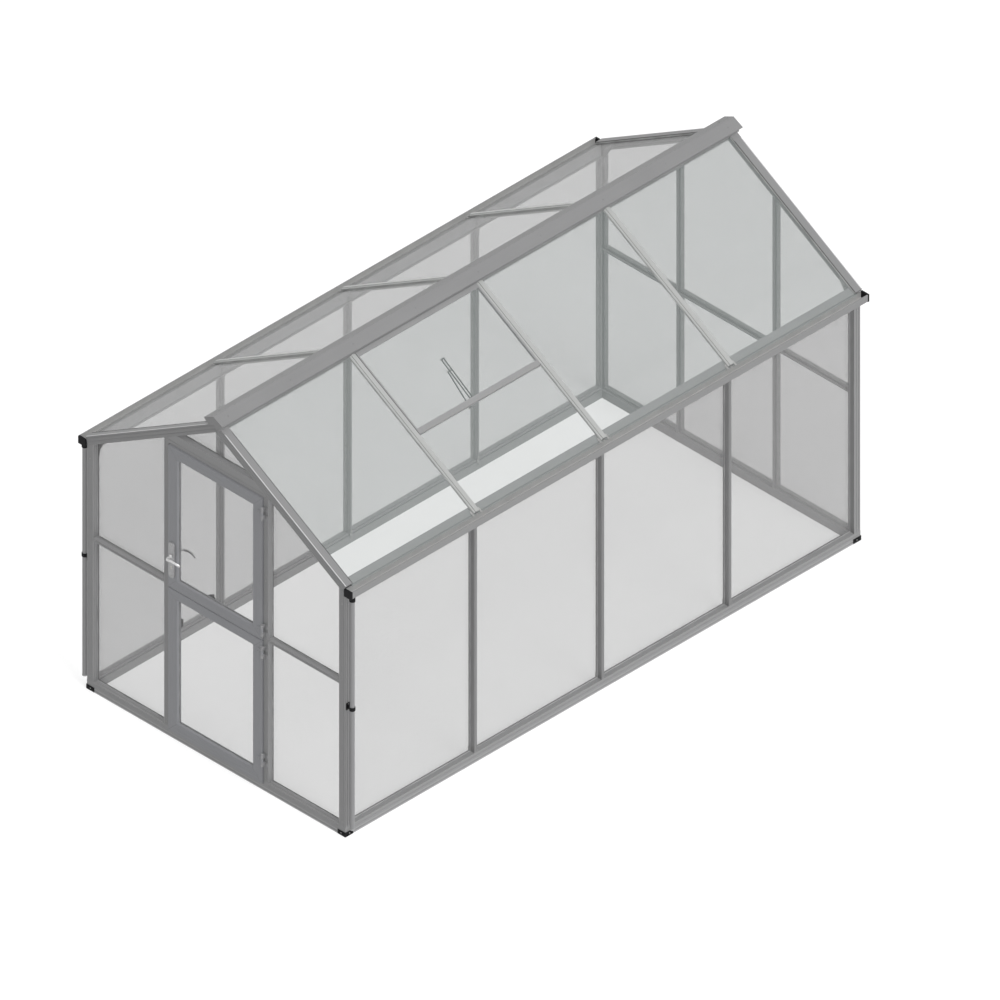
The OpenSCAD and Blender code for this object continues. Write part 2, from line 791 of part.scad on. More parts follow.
// Long plates under the lever, one outside and one inside, each with a keyhole.
module handle_plates() {
    w = 44;
    above = 90;
    below = 150;
    color("silver") in_place() for (y = [leaf_y - handle_plate_t, leaf_y + leaf_d])
        translate([spindle_x, y + handle_plate_t, lever_z]) rotate([90, 0, 0])
            linear_extrude(handle_plate_t) difference() {
            hull() {
                translate([0, above - w / 2]) circle(r = w / 2);
                translate([0, w / 2 - below]) circle(r = w / 2);
            }
            circle(r = pin_r + fit);
            translate([0, -72]) circle(r = 5);
            translate([-2.5, -92]) square([5, 20]);
        }
}

// Lever handle: an outer and an inner grip on one spindle that turns in the leaf.
module door_lever() {
    hub_r = 11;
    play = 0.5;
    grip_y = -gable_y - lever_front + 7;
    out_y = leaf_y - handle_plate_t - play;
    in_y = leaf_y + leaf_d + handle_plate_t + play;
    in_grip_y = in_y + 34;
    color("gainsboro") in_place() translate([spindle_x, 0, lever_z]) {
        translate([0, grip_y, 0]) rotate([-90, 0, 0]) cylinder(r = pin_r, h = in_grip_y - grip_y);
        translate([0, grip_y - 7, 0]) rotate([-90, 0, 0]) cylinder(r = hub_r, h = out_y - grip_y + 7);
        translate([0, in_y, 0]) rotate([-90, 0, 0]) cylinder(r = hub_r, h = in_grip_y + 7 - in_y);
        for (y = [grip_y, in_grip_y]) translate([0, y, 0]) {
            rotate([0, 90, 0]) cylinder(r = 7, h = lever_l - 7);
            translate([lever_l - 7, 0, 0]) sphere(r = 7);
        }
    }
}

// Latch that ties the leaves together: a round turn knob on a plate, on the inside of the
// upper leaf's bottom rail.
module split_latch() {
    y0 = leaf_y + leaf_d;
    x0 = -108;
    plate_w = 70;
    knob_r = 31;
    knob_x = x0 + plate_w / 2;
    knob_z = split_z + 34;
    color("#202224") in_place() {
        translate([x0, y0, split_z + 9]) cube([plate_w, 6, 46]);
        translate([knob_x, y0 + 6, knob_z]) rotate([-90, 0, 0]) cylinder(r = knob_r - 4, h = 4);
        translate([knob_x, y0 + 10, knob_z]) rotate([-90, 0, 0]) cylinder(r = knob_r, h = 8);
        translate([knob_x - 5, y0 + 18, knob_z - knob_r + 3]) cube([10, 12, 2 * knob_r - 6]);
    }
}

// Bolt on the inside of the lower leaf's free stile.
module lower_bolt() {
    y0 = leaf_y + leaf_d;
    x0 = -leaf_w / 2 + 16;
    z0 = 753;
    color("#202224") in_place() {
        translate([x0, y0, z0]) cube([48, 6, 60]);
        translate([x0 + 10, y0 + 6, z0 + 6]) cube([40, 12, 48]);
        translate([x0 + 22, y0 + 18, z0 + 18]) cube([18, 12, 24]);
    }
}

base_rail_front();
base_rail_rear();
base_rail_left();
base_rail_right();
corner_feet();
corner_posts();
wall_bars_left();
wall_bars_right();
eave_beam_left();
eave_beam_right();
gutter_left();
gutter_right();
gutter_end_caps();
downpipe_left();
downpipe_right();
pipe_clips();
ridge_cap();
ridge_beam();
roof_bars_left();
roof_bars_right();
rafters_front();
rafters_rear();
door_post_left();
door_post_right();
door_lintel();
gable_mid_rails();
rear_gable_bars();
gusset_plates();
glass_wall_left();
glass_wall_right();
glass_front_gable();
glass_rear_gable();
glass_roof_left();
glass_roof_right();
vent_frame();
vent_glass();
vent_sill();
vent_stay();
door_hinges();
upper_leaf_frame();
upper_leaf_glass();
handle_plates();
split_latch();
lower_leaf_frame();
lower_leaf_glass();
lower_bolt();
door_lever();
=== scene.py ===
"""Looks of an aluminium greenhouse with a split entrance door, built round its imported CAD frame."""

import math
import random

import bmesh
import bpy
from mathutils import Matrix, Vector


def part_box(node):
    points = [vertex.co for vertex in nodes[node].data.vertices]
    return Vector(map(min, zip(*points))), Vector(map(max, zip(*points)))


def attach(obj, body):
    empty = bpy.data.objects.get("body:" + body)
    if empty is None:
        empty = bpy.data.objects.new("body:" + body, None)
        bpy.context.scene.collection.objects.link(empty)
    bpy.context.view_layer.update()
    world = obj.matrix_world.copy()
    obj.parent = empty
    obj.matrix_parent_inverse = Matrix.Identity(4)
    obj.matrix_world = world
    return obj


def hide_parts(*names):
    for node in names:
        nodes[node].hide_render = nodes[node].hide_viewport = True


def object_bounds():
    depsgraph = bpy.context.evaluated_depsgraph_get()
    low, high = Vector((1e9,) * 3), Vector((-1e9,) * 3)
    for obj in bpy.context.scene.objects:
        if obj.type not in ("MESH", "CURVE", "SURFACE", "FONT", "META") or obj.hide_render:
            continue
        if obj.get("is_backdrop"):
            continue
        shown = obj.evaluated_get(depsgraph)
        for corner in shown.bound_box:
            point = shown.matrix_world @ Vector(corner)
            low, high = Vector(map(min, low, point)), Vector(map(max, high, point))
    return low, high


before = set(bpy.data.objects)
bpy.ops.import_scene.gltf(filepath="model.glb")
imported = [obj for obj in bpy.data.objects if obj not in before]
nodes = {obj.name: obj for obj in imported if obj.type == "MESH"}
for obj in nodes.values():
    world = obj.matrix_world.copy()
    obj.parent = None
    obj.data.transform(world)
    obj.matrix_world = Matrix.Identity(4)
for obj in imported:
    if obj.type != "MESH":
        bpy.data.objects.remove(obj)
cad_low, cad_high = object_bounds()


# Base rails: four box extrusions in satin anodised aluminium that lie on the ground and carry
# the walls. They are sawn to length and bolted at the corners. The saw-cut ends hide in the feet.

wall_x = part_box("base_rail_right")[1].x
door_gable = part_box("base_rail_front")[0].y
rear_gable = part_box("base_rail_rear")[1].y
mid_y = (door_gable + rear_gable) / 2
base_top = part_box("base_rail_right")[1].z

RAIL_TONE = (0.255, 0.255, 0.257)


def feed(tree, node, inputs):
    """Fills a node's inputs: a socket is wired in, and anything else is the input's value."""
    for key, value in inputs.items():
        if isinstance(value, bpy.types.NodeSocket):
            tree.links.new(value, node.inputs[key])
        else:
            node.inputs[key].default_value = value


def add(tree, kind, inputs=None, **settings):
    """Adds a shader node with its settings and inputs."""
    made = tree.nodes.new("ShaderNode" + kind)
    for key, value in settings.items():
        setattr(made, key, value)
    feed(tree, made, inputs or {})
    return made


def calc(tree, operation, *values):
    """One step of arithmetic in a shader."""
    return add(tree, "Math", dict(enumerate(values)), operation=operation).outputs[0]


def noise(tree, place, scale, detail):
    """Smooth random patches, about scale of them to a metre."""
    return add(tree, "TexNoise", {"Vector": place, "Scale": scale, "Detail": detail}).outputs["Fac"]


def remap(tree, value, to_low, to_high, low=0.3, high=0.7):
    """Brings a value that runs from low to high onto another span."""
    return add(tree, "MapRange", {"Value": value, "From Min": low, "From Max": high,
                                  "To Min": to_low, "To Max": to_high}).outputs[0]


def relief(tree, height, strength, distance):
    """Fine bumps that follow height, for a shader's Normal input."""
    return add(tree, "Bump", {"Strength": strength, "Distance": distance,
                              "Height": height}).outputs[0]


def new_finish(name):
    """A new material, its node tree, its shader and the place on the object, in metres."""
    made = bpy.data.materials.new(name)
    made.use_nodes = True
    tree = made.node_tree
    return made, tree, tree.nodes["Principled BSDF"], add(tree, "TexCoord").outputs["Object"]


def tinted(tree, tone, amount, spread):
    """A colour that runs from a darker to a lighter tone as amount goes from 0.3 to 0.7."""
    ramp = add(tree, "ValToRGB", {"Fac": amount})
    low, high = ramp.color_ramp.elements
    low.position, high.position = 0.3, 0.7
    low.color = [c * (1 - spread) for c in tone] + [1]
    high.color = [c * (1 + spread) for c in tone] + [1]
    return ramp.outputs["Color"]


def extrusion_lines(tree, place, turn):
    """Fine die lines that run along the bar's own length, which turn brings onto the X axis."""
    line_l, line_w = 0.8, 0.0035
    along = add(tree, "Mapping", {"Vector": place, "Rotation": turn,
                                  "Scale": (line_l, line_w, line_w)}, vector_type="TEXTURE")
    return add(tree, "TexNoise", {"Vector": along.outputs[0], "Scale": 1.0, "Detail": 3.0,
                                  "Roughness": 0.65}).outputs["Fac"]


def aluminium(name, tone, turn, metal=0.15, sloping=False):
    """Anodised extruded bar: die lines, a cloudy oxide film, faint specks and a satin gloss."""
    made, tree, shader, place = new_finish(name)
    grain_place = place
    if sloping:
        # both slopes are brought onto one side of the ridge before the lines are laid
        grain_place = add(tree, "VectorMath", {0: place}, operation="ABSOLUTE").outputs[0]
    lines = extrusion_lines(tree, grain_place, turn)
    worn = calc(tree, "MULTIPLY", lines, 0.45)
    worn = calc(tree, "MULTIPLY_ADD", noise(tree, place, 3.1, 4.0), 0.40, worn)
    worn = calc(tree, "MULTIPLY_ADD", noise(tree, place, 260.0, 2.0), 0.15, worn)
    feed(tree, shader, {"Base Color": tinted(tree, tone, worn, 0.06),
                        "Roughness": remap(tree, worn, 0.38, 0.52),
                        "Normal": relief(tree, lines, 0.35, 0.0004),
                        "Metallic": metal, "Specular IOR Level": 0.35})
    return made


ALONG_X = (0, 0, 0)
ALONG_Y = (0, 0, math.pi / 2)
ALONG_Z = (0, math.pi / 2, 0)


def finish_nodes(names, material):
    """Gives CAD nodes their material."""
    for name in names:
        for place in nodes[name].material_slots:
            place.material = material


rail_across = aluminium("rail_aluminium_across", RAIL_TONE, ALONG_X)
rail_along = aluminium("rail_aluminium_along", RAIL_TONE, ALONG_Y)
finish_nodes(["base_rail_front", "base_rail_rear"], rail_across)
finish_nodes(["base_rail_left", "base_rail_right"], rail_along)


# Drip lip: a thin bright strip along the foot of every base rail that throws rain off the plinth,
# with a fine line above it. Both belong to the rail's extrusion and stop short of the corner feet.

half_length = (rear_gable - door_gable) / 2
wall_half = {"front": wall_x, "rear": wall_x, "right": half_length, "left": half_length}
# each wall has its own frame: x along it, y inwards from its outer face, z up
wall_frame = {
    "front": Matrix.Translation((0, door_gable, 0)),
    "right": Matrix.Translation((wall_x, mid_y, 0)) @ Matrix.Rotation(math.pi / 2, 4, "Z"),
    "rear": Matrix.Translation((0, rear_gable, 0)) @ Matrix.Rotation(math.pi, 4, "Z"),
    "left": Matrix.Translation((-wall_x, mid_y, 0)) @ Matrix.Rotation(-math.pi / 2, 4, "Z"),
}


def prism(bm, outline, start, end, place):
    """A straight bar along x from start to end, with a closed (y, z) outline, both ends capped."""
    rings = [[bm.verts.new(place @ Vector((x, y, z))) for y, z in outline] for x in (start, end)]
    count = len(outline)
    for i in range(count):
        j = (i + 1) % count
        bm.faces.new((rings[0][i], rings[0][j], rings[1][j], rings[1][i]))
    bm.faces.new(list(reversed(rings[0])))
    bm.faces.new(rings[1])


def block(bm, y0, y1, z0, z1, start, end, place):
    """A prism with a rectangular outline."""
    prism(bm, [(y0, z0), (y1, z0), (y1, z1), (y0, z1)], start, end, place)


scene = bpy.context.scene


def piece(name, bm, material, body="frame"):
    """Turns a bmesh into a named piece that rides on a body."""
    bmesh.ops.recalc_face_normals(bm, faces=bm.faces)
    mesh = bpy.data.meshes.new(name)
    bm.to_mesh(mesh)
    bm.free()
    mesh.materials.append(material)
    made = bpy.data.objects.new(name, mesh)
    scene.collection.objects.link(made)
    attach(made, body)
    return made


line_z = 0.014
lip_out = 0.0035
foot_clear = 0.060
bright_edge = aluminium("lip_aluminium_bright", (0.34, 0.34, 0.343), ALONG_X, metal=0.4)
lip = bmesh.new()
for side, place in wall_frame.items():
    reach = wall_half[side] - foot_clear
    prism(lip, [(0.0, 0.006), (-lip_out, 0.0035), (-lip_out, 0.0015), (0.0, 0.0015)],
          -reach, reach, place)
    prism(lip, [(0.0, line_z + 0.010), (-0.0016, line_z + 0.008), (-0.0016, line_z + 0.006),
                (0.0, line_z + 0.005)], -reach, reach, place)
piece("base_drip_lips", lip, bright_edge)


# Threshold: the front rail is lower under the door and is topped by a ribbed tread strip in
# pressed aluminium, stuck down between the door posts.

sill_top = 0.040
door_half = -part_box("door_lintel")[0].x
sheet_t = 0.0006
rib_count, rib_pitch = 9, 0.0042
tread = bmesh.new()
for i in range(rib_count):
    y = 0.006 + i * rib_pitch
    prism(tread, [(y, 0.0), (y + 0.0026, 0.0), (y + 0.0019, 0.0009), (y + 0.0007, 0.0009)],
          -door_half + 0.016, door_half - 0.016,
          Matrix.Translation((0, door_gable, sill_top + sheet_t)))
block(tread, 0.004, 0.046, 0.0, sheet_t, -door_half + 0.012, door_half - 0.012,
      Matrix.Translation((0, door_gable, sill_top)))
piece("threshold_tread", tread, bright_edge)


# Corner feet: black injection-moulded plastic shoes that wrap the base corners. Each is pushed
# on from outside, has two grip ribs a side and is held by one zinc-plated screw a side.

draw = random.Random(20)


def plated(name, tone, rough=0.34, metal=0.75):
    """Zinc-plated steel: a faint crystal pattern in colour and gloss, with fine pitting."""
    made, tree, shader, place = new_finish(name)
    crystal = add(tree, "TexVoronoi", {"Vector": place, "Scale": 170.0}).outputs["Color"]
    grey = add(tree, "RGBToBW", {"Color": crystal}).outputs[0]
    feed(tree, shader, {"Base Color": tinted(tree, tone, grey, 0.12),
                        "Roughness": remap(tree, grey, rough - 0.06, rough + 0.08, 0.0, 1.0),
                        "Normal": relief(tree, noise(tree, place, 900.0, 3.0), 0.2, 0.0002),
                        "Metallic": metal})
    return made


def moulded(name, tone, rough=0.58, sheen=0.25):
    """Injection-moulded plastic with a fine spark-eroded texture."""
    made, tree, shader, place = new_finish(name)
    flow = noise(tree, place, 9.0, 3.0)
    pebble = noise(tree, place, 1400.0, 2.0)
    feed(tree, shader, {"Base Color": tinted(tree, tone, flow, 0.25),
                        "Roughness": remap(tree, flow, rough - 0.06, rough + 0.08),
                        "Normal": relief(tree, pebble, 0.25, 0.00015),
                        "Specular IOR Level": sheen})
    return made


def lathe(bm, at, axis, outline, sides=20, turn=0.0):
    """Turns an outline of (radius, height) about an axis through a point."""
    place = Matrix.Translation(at) @ Vector(axis).to_track_quat("Z", "Y").to_matrix().to_4x4()
    rings = []
    for radius, height in outline:
        if radius < 1e-7:
            rings.append([bm.verts.new(place @ Vector((0, 0, height)))])
            continue
        rings.append([
            bm.verts.new(place @ Vector((radius * math.cos(a), radius * math.sin(a), height)))
            for a in (turn + 2 * math.pi * k / sides for k in range(sides))
        ])
    for low, high in zip(rings, rings[1:]):
        for k in range(sides):
            n = (k + 1) % sides
            corners = [low[k % len(low)], low[n % len(low)],
                       high[n % len(high)], high[k % len(high)]]
            bm.faces.new(list(dict.fromkeys(corners)))
    for end in (rings[0], rings[-1]):
        if len(end) > 1:
            bm.faces.new(end)


def pan_screw(bm, at, axis, radius=0.0042):
    """Pan head with a sunk centre."""
    r = radius
    lathe(bm, at, axis, [(r, 0.0), (r, r * 0.25), (r * 0.93, r * 0.42), (r * 0.7, r * 0.60),
                         (r * 0.36, r * 0.66), (r * 0.26, r * 0.30), (0.0, r * 0.22)],
          turn=draw.uniform(0, math.pi))


def facing(place, y):
    """A direction along the y axis of a wall's or a slope's frame: 1 with it, -1 against it."""
    return place.to_3x3() @ Vector((0, y, 0))


black_plastic = moulded("black_plastic", (0.006, 0.006, 0.007), sheen=0.12)
zinc = plated("zinc_plated_steel", (0.32, 0.32, 0.315), metal=0.5)
finish_nodes(["corner_feet"], black_plastic)

foot_skin = 0.003
rib_half = 0.0016
rib_insets, screw_inset, screw_z = (0.016, 0.046), 0.031, 0.016
ribs, foot_screws = bmesh.new(), bmesh.new()
for side, place in wall_frame.items():
    for end in (-1, 1):
        for inset in rib_insets:
            x = end * (wall_half[side] - inset)
            prism(ribs, [(-foot_skin - 0.0014, 0.004), (-foot_skin + 0.0003, 0.003),
                         (-foot_skin + 0.0003, 0.028), (-foot_skin - 0.0014, 0.026)],
                  x - rib_half, x + rib_half, place)
        at = place @ Vector((end * (wall_half[side] - screw_inset), -foot_skin, screw_z))
        pan_screw(foot_screws, at, facing(place, -1), 0.0036)
piece("corner_foot_ribs", ribs, black_plastic)
piece("corner_foot_screws", foot_screws, zinc)


# Corner posts: aluminium extrusions with two ribbed flanges round a square core. They stand
# on the side base rails, and are screwed at the foot and under the eaves.

post_upright = aluminium("post_aluminium", (0.250, 0.250, 0.252), ALONG_Z)
finish_nodes(["corner_posts"], post_upright)


# Wall bars: narrow, deep glazing bars between the base rail and the eave beam, at the joints
# between panes. Three stand in each side wall, and steel tie plates hold their ends inside.

finish_nodes(["wall_bars_left", "wall_bars_right"], post_upright)
bar_count = 3
post_mid = 0.025
bay = 2 * (half_length - post_mid) / (bar_count + 1)
bar_places = [-half_length + post_mid + bay * (i + 1) for i in range(bar_count)]
bar_depth = 0.050
beam_under = 1.645


def hex_bolt(bm, at, axis, radius=0.0062):
    """Washer, hexagon nut with chamfered corners and the end of the threaded shank."""
    r = radius
    lathe(bm, at, axis, [(r * 1.45, 0.0), (r * 1.45, r * 0.18), (r * 1.38, r * 0.24),
                         (0.0, r * 0.24)])
    turn = draw.uniform(0, math.pi / 3)
    lathe(bm, Vector(at) + Vector(axis) * r * 0.24, axis,
          [(r, 0.0), (r, r * 0.72), (r * 0.88, r * 0.86), (0.0, r * 0.86)], sides=6, turn=turn)
    lathe(bm, Vector(at) + Vector(axis) * r * 1.08, axis,
          [(r * 0.5, 0.0), (r * 0.5, r * 0.5), (r * 0.4, r * 0.6), (0.0, r * 0.6)], sides=12)


bar_screw_z = (base_top + 0.022, beam_under - 0.024)
post_screw_z = (base_top + 0.030, beam_under - 0.060)
bar_screws = bmesh.new()
for side in ("left", "right", "front", "rear"):
    place = wall_frame[side]
    outwards = facing(place, -1)
    for x in (bar_places if side in ("left", "right") else ()):
        for z in bar_screw_z:
            pan_screw(bar_screws, place @ Vector((x, 0.0, z)), outwards, 0.0028)
    for end in (-1, 1):
        for z in post_screw_z:
            at = place @ Vector((end * (wall_half[side] - post_mid), 0.0, z))
            pan_screw(bar_screws, at, outwards, 0.0034)
piece("post_and_bar_screws", bar_screws, zinc)

brackets, bracket_bolts = bmesh.new(), bmesh.new()
plate_t = 0.0025
plate_half = 0.009
shelf = base_top - 0.010
ledge = beam_under + 0.010
face = bar_depth + 0.0003
beam_face = 0.0403
for side in ("left", "right"):
    place = wall_frame[side]
    for x in bar_places:
        # foot: a flat plate across the bar and the base rail
        block(brackets, face, face + plate_t, shelf - 0.028, shelf + 0.036,
              x - plate_half, x + plate_half, place)
        # head: a cranked plate from the bar back to the shallower eave beam
        prism(brackets, [(face, ledge - 0.044), (face + plate_t, ledge - 0.044),
                         (face + plate_t, ledge + 0.0028), (beam_face + plate_t, ledge + 0.0028),
                         (beam_face + plate_t, ledge + 0.036), (beam_face, ledge + 0.036),
                         (beam_face, ledge + 0.0003), (face, ledge + 0.0003)],
              x - plate_half, x + plate_half, place)
        for y, z in ((face, shelf - 0.015), (face, shelf + 0.022), (face, ledge - 0.028),
                     (beam_face, ledge + 0.022)):
            hex_bolt(bracket_bolts, place @ Vector((x, y + plate_t, z)), facing(place, 1), 0.0046)
piece("bar_tie_plates", brackets, zinc)
piece("bar_tie_bolts", bracket_bolts, zinc)


# Eave beams: heavier extrusions along the top of the side walls. Their sloping tops carry the
# lower edge of the roof glass, and the gutters hook onto their outer faces.

finish_nodes(["eave_beam_left", "eave_beam_right"], rail_along)


# Gutters: open channels in aluminium sheet with a rolled bead on the lip, closed by black plastic
# caps. Each hangs on the outer face of an eave beam. The inside of the channel is painted paler in
# patches: dried silt, and painted light that lifts the shade inside it.

gutter_metal = aluminium("gutter_aluminium", (0.236, 0.236, 0.238), ALONG_Y)
gutter_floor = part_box("gutter_right")[0].z
gutter_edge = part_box("gutter_right")[1].x


def silt_and_painted_light(made, tone):
    """Paints the inside of the channel paler, in patches: dried silt, and painted light against the
    shade in it.
    """
    tree = made.node_tree
    shader = tree.nodes["Principled BSDF"]
    place = add(tree, "TexCoord").outputs["Object"]
    split = add(tree, "SeparateXYZ", {0: place})
    out = calc(tree, "ABSOLUTE", split.outputs["X"])
    up = split.outputs["Z"]
    inside = calc(tree, "GREATER_THAN", out, wall_x + 0.0028)
    for level, value, test in ((out, gutter_edge - 0.0028, "LESS_THAN"),
                               (up, gutter_floor + 0.0027, "GREATER_THAN"),
                               (up, gutter_floor + 0.0447, "LESS_THAN")):
        inside = calc(tree, "MULTIPLY", inside, calc(tree, test, level, value))
    cover = remap(tree, noise(tree, place, 14.0, 4.0), 0.75, 1.0)
    cover = calc(tree, "MULTIPLY", cover, inside)
    bare = shader.inputs["Base Color"].links[0].from_socket
    mixed = add(tree, "Mix", {0: cover, 6: bare, 7: (*tone, 1)}, data_type="RGBA")
    tree.links.new(mixed.outputs[2], shader.inputs["Base Color"])


# painted light: the pale patches lift the shade inside the channel as well as showing silt
silt_and_painted_light(gutter_metal, (0.40, 0.40, 0.395))
finish_nodes(["gutter_left", "gutter_right"], gutter_metal)
finish_nodes(["gutter_end_caps"], black_plastic)


# Outlets: a black plastic collar with a low rim sits in the gutter floor over each downpipe.

pipe_low, pipe_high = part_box("downpipe_right")
pipe_x = (pipe_low.x + pipe_high.x) / 2
pipe_y = (pipe_low.y + pipe_high.y) / 2
pipe_r = (pipe_high.x - pipe_low.x) / 2
outlets = bmesh.new()
for sx in (-1, 1):
    lathe(outlets, (sx * pipe_x, pipe_y, gutter_floor + 0.0031), (0, 0, 1),
          [(pipe_r - 0.0025, -0.002), (pipe_r + 0.0035, 0.0), (pipe_r + 0.0035, 0.0012),
           (pipe_r - 0.001, 0.0020), (pipe_r - 0.0032, 0.0012), (pipe_r - 0.0032, -0.002)],
          sides=32)
piece("gutter_outlet_collars", outlets, black_plastic)


# Downpipes: round aluminium tube from the gutter spout almost to the ground, with a rolled
# edge at the open foot. A black plastic clip holds each to its corner post.

finish_nodes(["downpipe_left", "downpipe_right"],
             aluminium("downpipe_aluminium", (0.245, 0.245, 0.248), ALONG_Z))
finish_nodes(["pipe_clips"], black_plastic)
foot_rims, clip_screws = bmesh.new(), bmesh.new()
clip_low, clip_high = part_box("pipe_clips")
clip_z = (clip_low.z + clip_high.z) / 2
clip_t = 0.005
for sx in (-1, 1):
    lathe(foot_rims, (sx * pipe_x, pipe_y, pipe_low.z), (0, 0, 1),
          [(pipe_r + 0.0001, 0.006), (pipe_r + 0.0012, 0.0045), (pipe_r + 0.0014, 0.002),
           (pipe_r + 0.0006, 0.0002), (pipe_r + 0.0001, 0.0002)], sides=32)
    for dz in (-0.0165, 0.0165):
        at = (sx * (wall_x + clip_t), pipe_y, clip_z + dz)
        pan_screw(clip_screws, at, (sx, 0, 0), 0.0030)
piece("downpipe_foot_rims", foot_rims, bright_edge)
piece("pipe_clip_screws", clip_screws, zinc)


# Rafters: deep aluminium bars up the edges of both gables, mitred at the ridge. A raised outer lip
# runs along the top of each, and a fine rib on it is painted much lighter as a painted highlight.

eave_reach = wall_x + 0.008
eave_height = 1.720
roof_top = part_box("rafters_front")[1].z
pitch = math.atan2(roof_top - eave_height, eave_reach)
eave_u = eave_reach / math.cos(pitch)
ALONG_SLOPE = (0, pitch, 0)
# painted shade: the rafters' aluminium is a darker copy of the frame's, against the stronger light on
# their tops
finish_nodes(["rafters_front", "rafters_rear"],
             aluminium("rafter_painted_shade_aluminium", (0.220, 0.220, 0.222), ALONG_SLOPE, sloping=True))

# each slope has its own frame: x down the slope from the ridge line, y along, z square to it
slope_frame = {
    "right": Matrix.Translation((0, mid_y, roof_top)) @ Matrix.Rotation(pitch, 4, "Y"),
    "left": Matrix.Translation((0, mid_y, roof_top)) @ Matrix.Rotation(math.pi, 4, "Z")
            @ Matrix.Rotation(pitch, 4, "Y"),
}
# painted highlight: the edge ribs get a far lighter copy of the rafter aluminium
painted_highlight_slope = aluminium("rafter_edge_painted_highlight", (0.62, 0.62, 0.625), ALONG_SLOPE, metal=0.45,
                         sloping=True)
rafter_lip = 0.005
rib_start, rib_end = 0.075 / math.cos(pitch), eave_u - 0.002
rafter_edges = bmesh.new()
for side, place in slope_frame.items():
    for end in (-1, 1):
        y = end * (half_length + rafter_lip)
        prism(rafter_edges, [(y - end * 0.0006, 0.0), (y - end * 0.0056, 0.0),
                             (y - end * 0.0046, 0.0018), (y - end * 0.0016, 0.0018)],
              rib_start, rib_end, place)
piece("rafter_edge_ribs", rafter_edges, painted_highlight_slope)


# Ridge: an aluminium beam carries the bars, and a wide cap is screwed over the meeting of the
# slopes. A grey foam strip under the cap's foot closes the joint against the glass.

finish_nodes(["ridge_beam"], rail_along)
# painted shade: the cap's aluminium is a darker copy of the frame's, against the stronger light on
# its sloping top
finish_nodes(["ridge_cap"], aluminium("ridge_painted_shade_aluminium", (0.222, 0.222, 0.224), ALONG_Y))

foam = moulded("grey_foam", (0.26, 0.26, 0.26), rough=0.85, sheen=0.1)
beam_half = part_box("ridge_beam")[1].x
neck = 0.044
glass_w = -0.0085
rafter_w = 0.050
foam_start = (beam_half + 0.0012) / math.cos(pitch) + 0.0045
foam_end = neck / math.cos(pitch) - 0.0015
foam_outline = [(foam_start, glass_w + 0.0002), (foam_end + 0.001, glass_w + 0.0002),
                (foam_end, -0.003), (foam_end, -0.0003), (foam_start, -0.0003)]
# for a strip drawn across the slope, the prism's x becomes the house's length
swap_xy = Matrix(((0, 1, 0, 0), (1, 0, 0, 0), (0, 0, 1, 0), (0, 0, 0, 1)))
foam_strips = bmesh.new()
for side, place in slope_frame.items():
    for i in range(bar_count + 1):
        if side == "right" and i == 1:
            continue  # the vent's hinge rail fills this bay
        y0 = -half_length + rafter_w + 0.001 if i == 0 else bar_places[i - 1]
        y1 = half_length - rafter_w - 0.001 if i == bar_count else bar_places[i]
        if side == "left":
            y0, y1 = -y1, -y0
        prism(foam_strips, foam_outline, y0, y1, place @ swap_xy)
piece("ridge_foam_strips", foam_strips, foam)

dull_zinc = plated("weathered_zinc", (0.20, 0.20, 0.20), rough=0.5, metal=0.3)
cap_screws = bmesh.new()
screw_count, screw_margin = 9, 0.06
cap_drop, cap_wing = 0.036, 0.072
cap_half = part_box("ridge_cap")[1].x
cap_fall = math.atan2(cap_drop, cap_wing)
for sx in (-1, 1):
    axis = Vector((sx * math.sin(cap_fall), 0, math.cos(cap_fall)))
    for i in range(screw_count):
        y = mid_y - half_length + screw_margin
        y += i * (2 * half_length - 2 * screw_margin) / (screw_count - 1)
        at = Vector((sx * cap_half * 0.5, y, cad_high.z - cap_drop * 0.5))
        pan_screw(cap_screws, at, axis, 0.0036)
piece("ridge_cap_screws", cap_screws, dull_zinc)


# Roof bars: glazing bars down the slopes with a raised strip that presses on the glass. The left
# slope's are painted paler than the right's, as painted light against the shade on that slope. A
# plastic stop closes each lower end, and steel clips hold the panes.

finish_nodes(["roof_bars_right"],
             aluminium("roof_bar_aluminium", (0.37, 0.375, 0.37), ALONG_SLOPE, sloping=True))
# painted light: a paler copy of the roof bar aluminium, offsetting the weaker light on the left slope
finish_nodes(["roof_bars_left"],
             aluminium("left_bar_painted_light_aluminium", (0.52, 0.525, 0.52), ALONG_SLOPE, sloping=True))
clip_half, clip_apart = 0.006, 0.030
bar_ends, stop_clips = bmesh.new(), bmesh.new()
for side, place in slope_frame.items():
    for y in bar_places:
        prism(bar_ends, [(y - 0.0095, -0.0005), (y - 0.0085, 0.0044), (y + 0.0085, 0.0044),
                         (y + 0.0095, -0.0005)], eave_u - 0.0002, eave_u + 0.0028, place)
        for mid in (y - clip_apart, y + clip_apart):
            block(stop_clips, mid - clip_half, mid + clip_half, glass_w + 0.0001,
                  glass_w + 0.0010, eave_u - 0.018, eave_u + 0.0152, place)
            block(stop_clips, mid - clip_half, mid + clip_half, glass_w - 0.0050,
                  glass_w + 0.0010, eave_u + 0.0142, eave_u + 0.0152, place)
piece("roof_bar_end_stops", bar_ends, moulded("grey_plastic", (0.21, 0.21, 0.21)))
piece("roof_glass_clips", stop_clips, zinc)

bolt_places = (0.075, eave_u - 0.125)
bolt_drop = -0.022
stem_half = 0.008
roof_bolts = bmesh.new()
for side, place in slope_frame.items():
    for y in bar_places:
        for dy in (-1, 1):
            for u in bolt_places:
                at = place @ Vector((u, y + dy * stem_half, bolt_drop))
                hex_bolt(roof_bolts, at, facing(place, dy), 0.0048)
piece("roof_bar_bolts", roof_bolts, zinc)


# Door posts, lintel and mid rails: gable extrusions with a grooved outer flange, screwed
# together behind the joints. Two more uprights divide the rear gable.

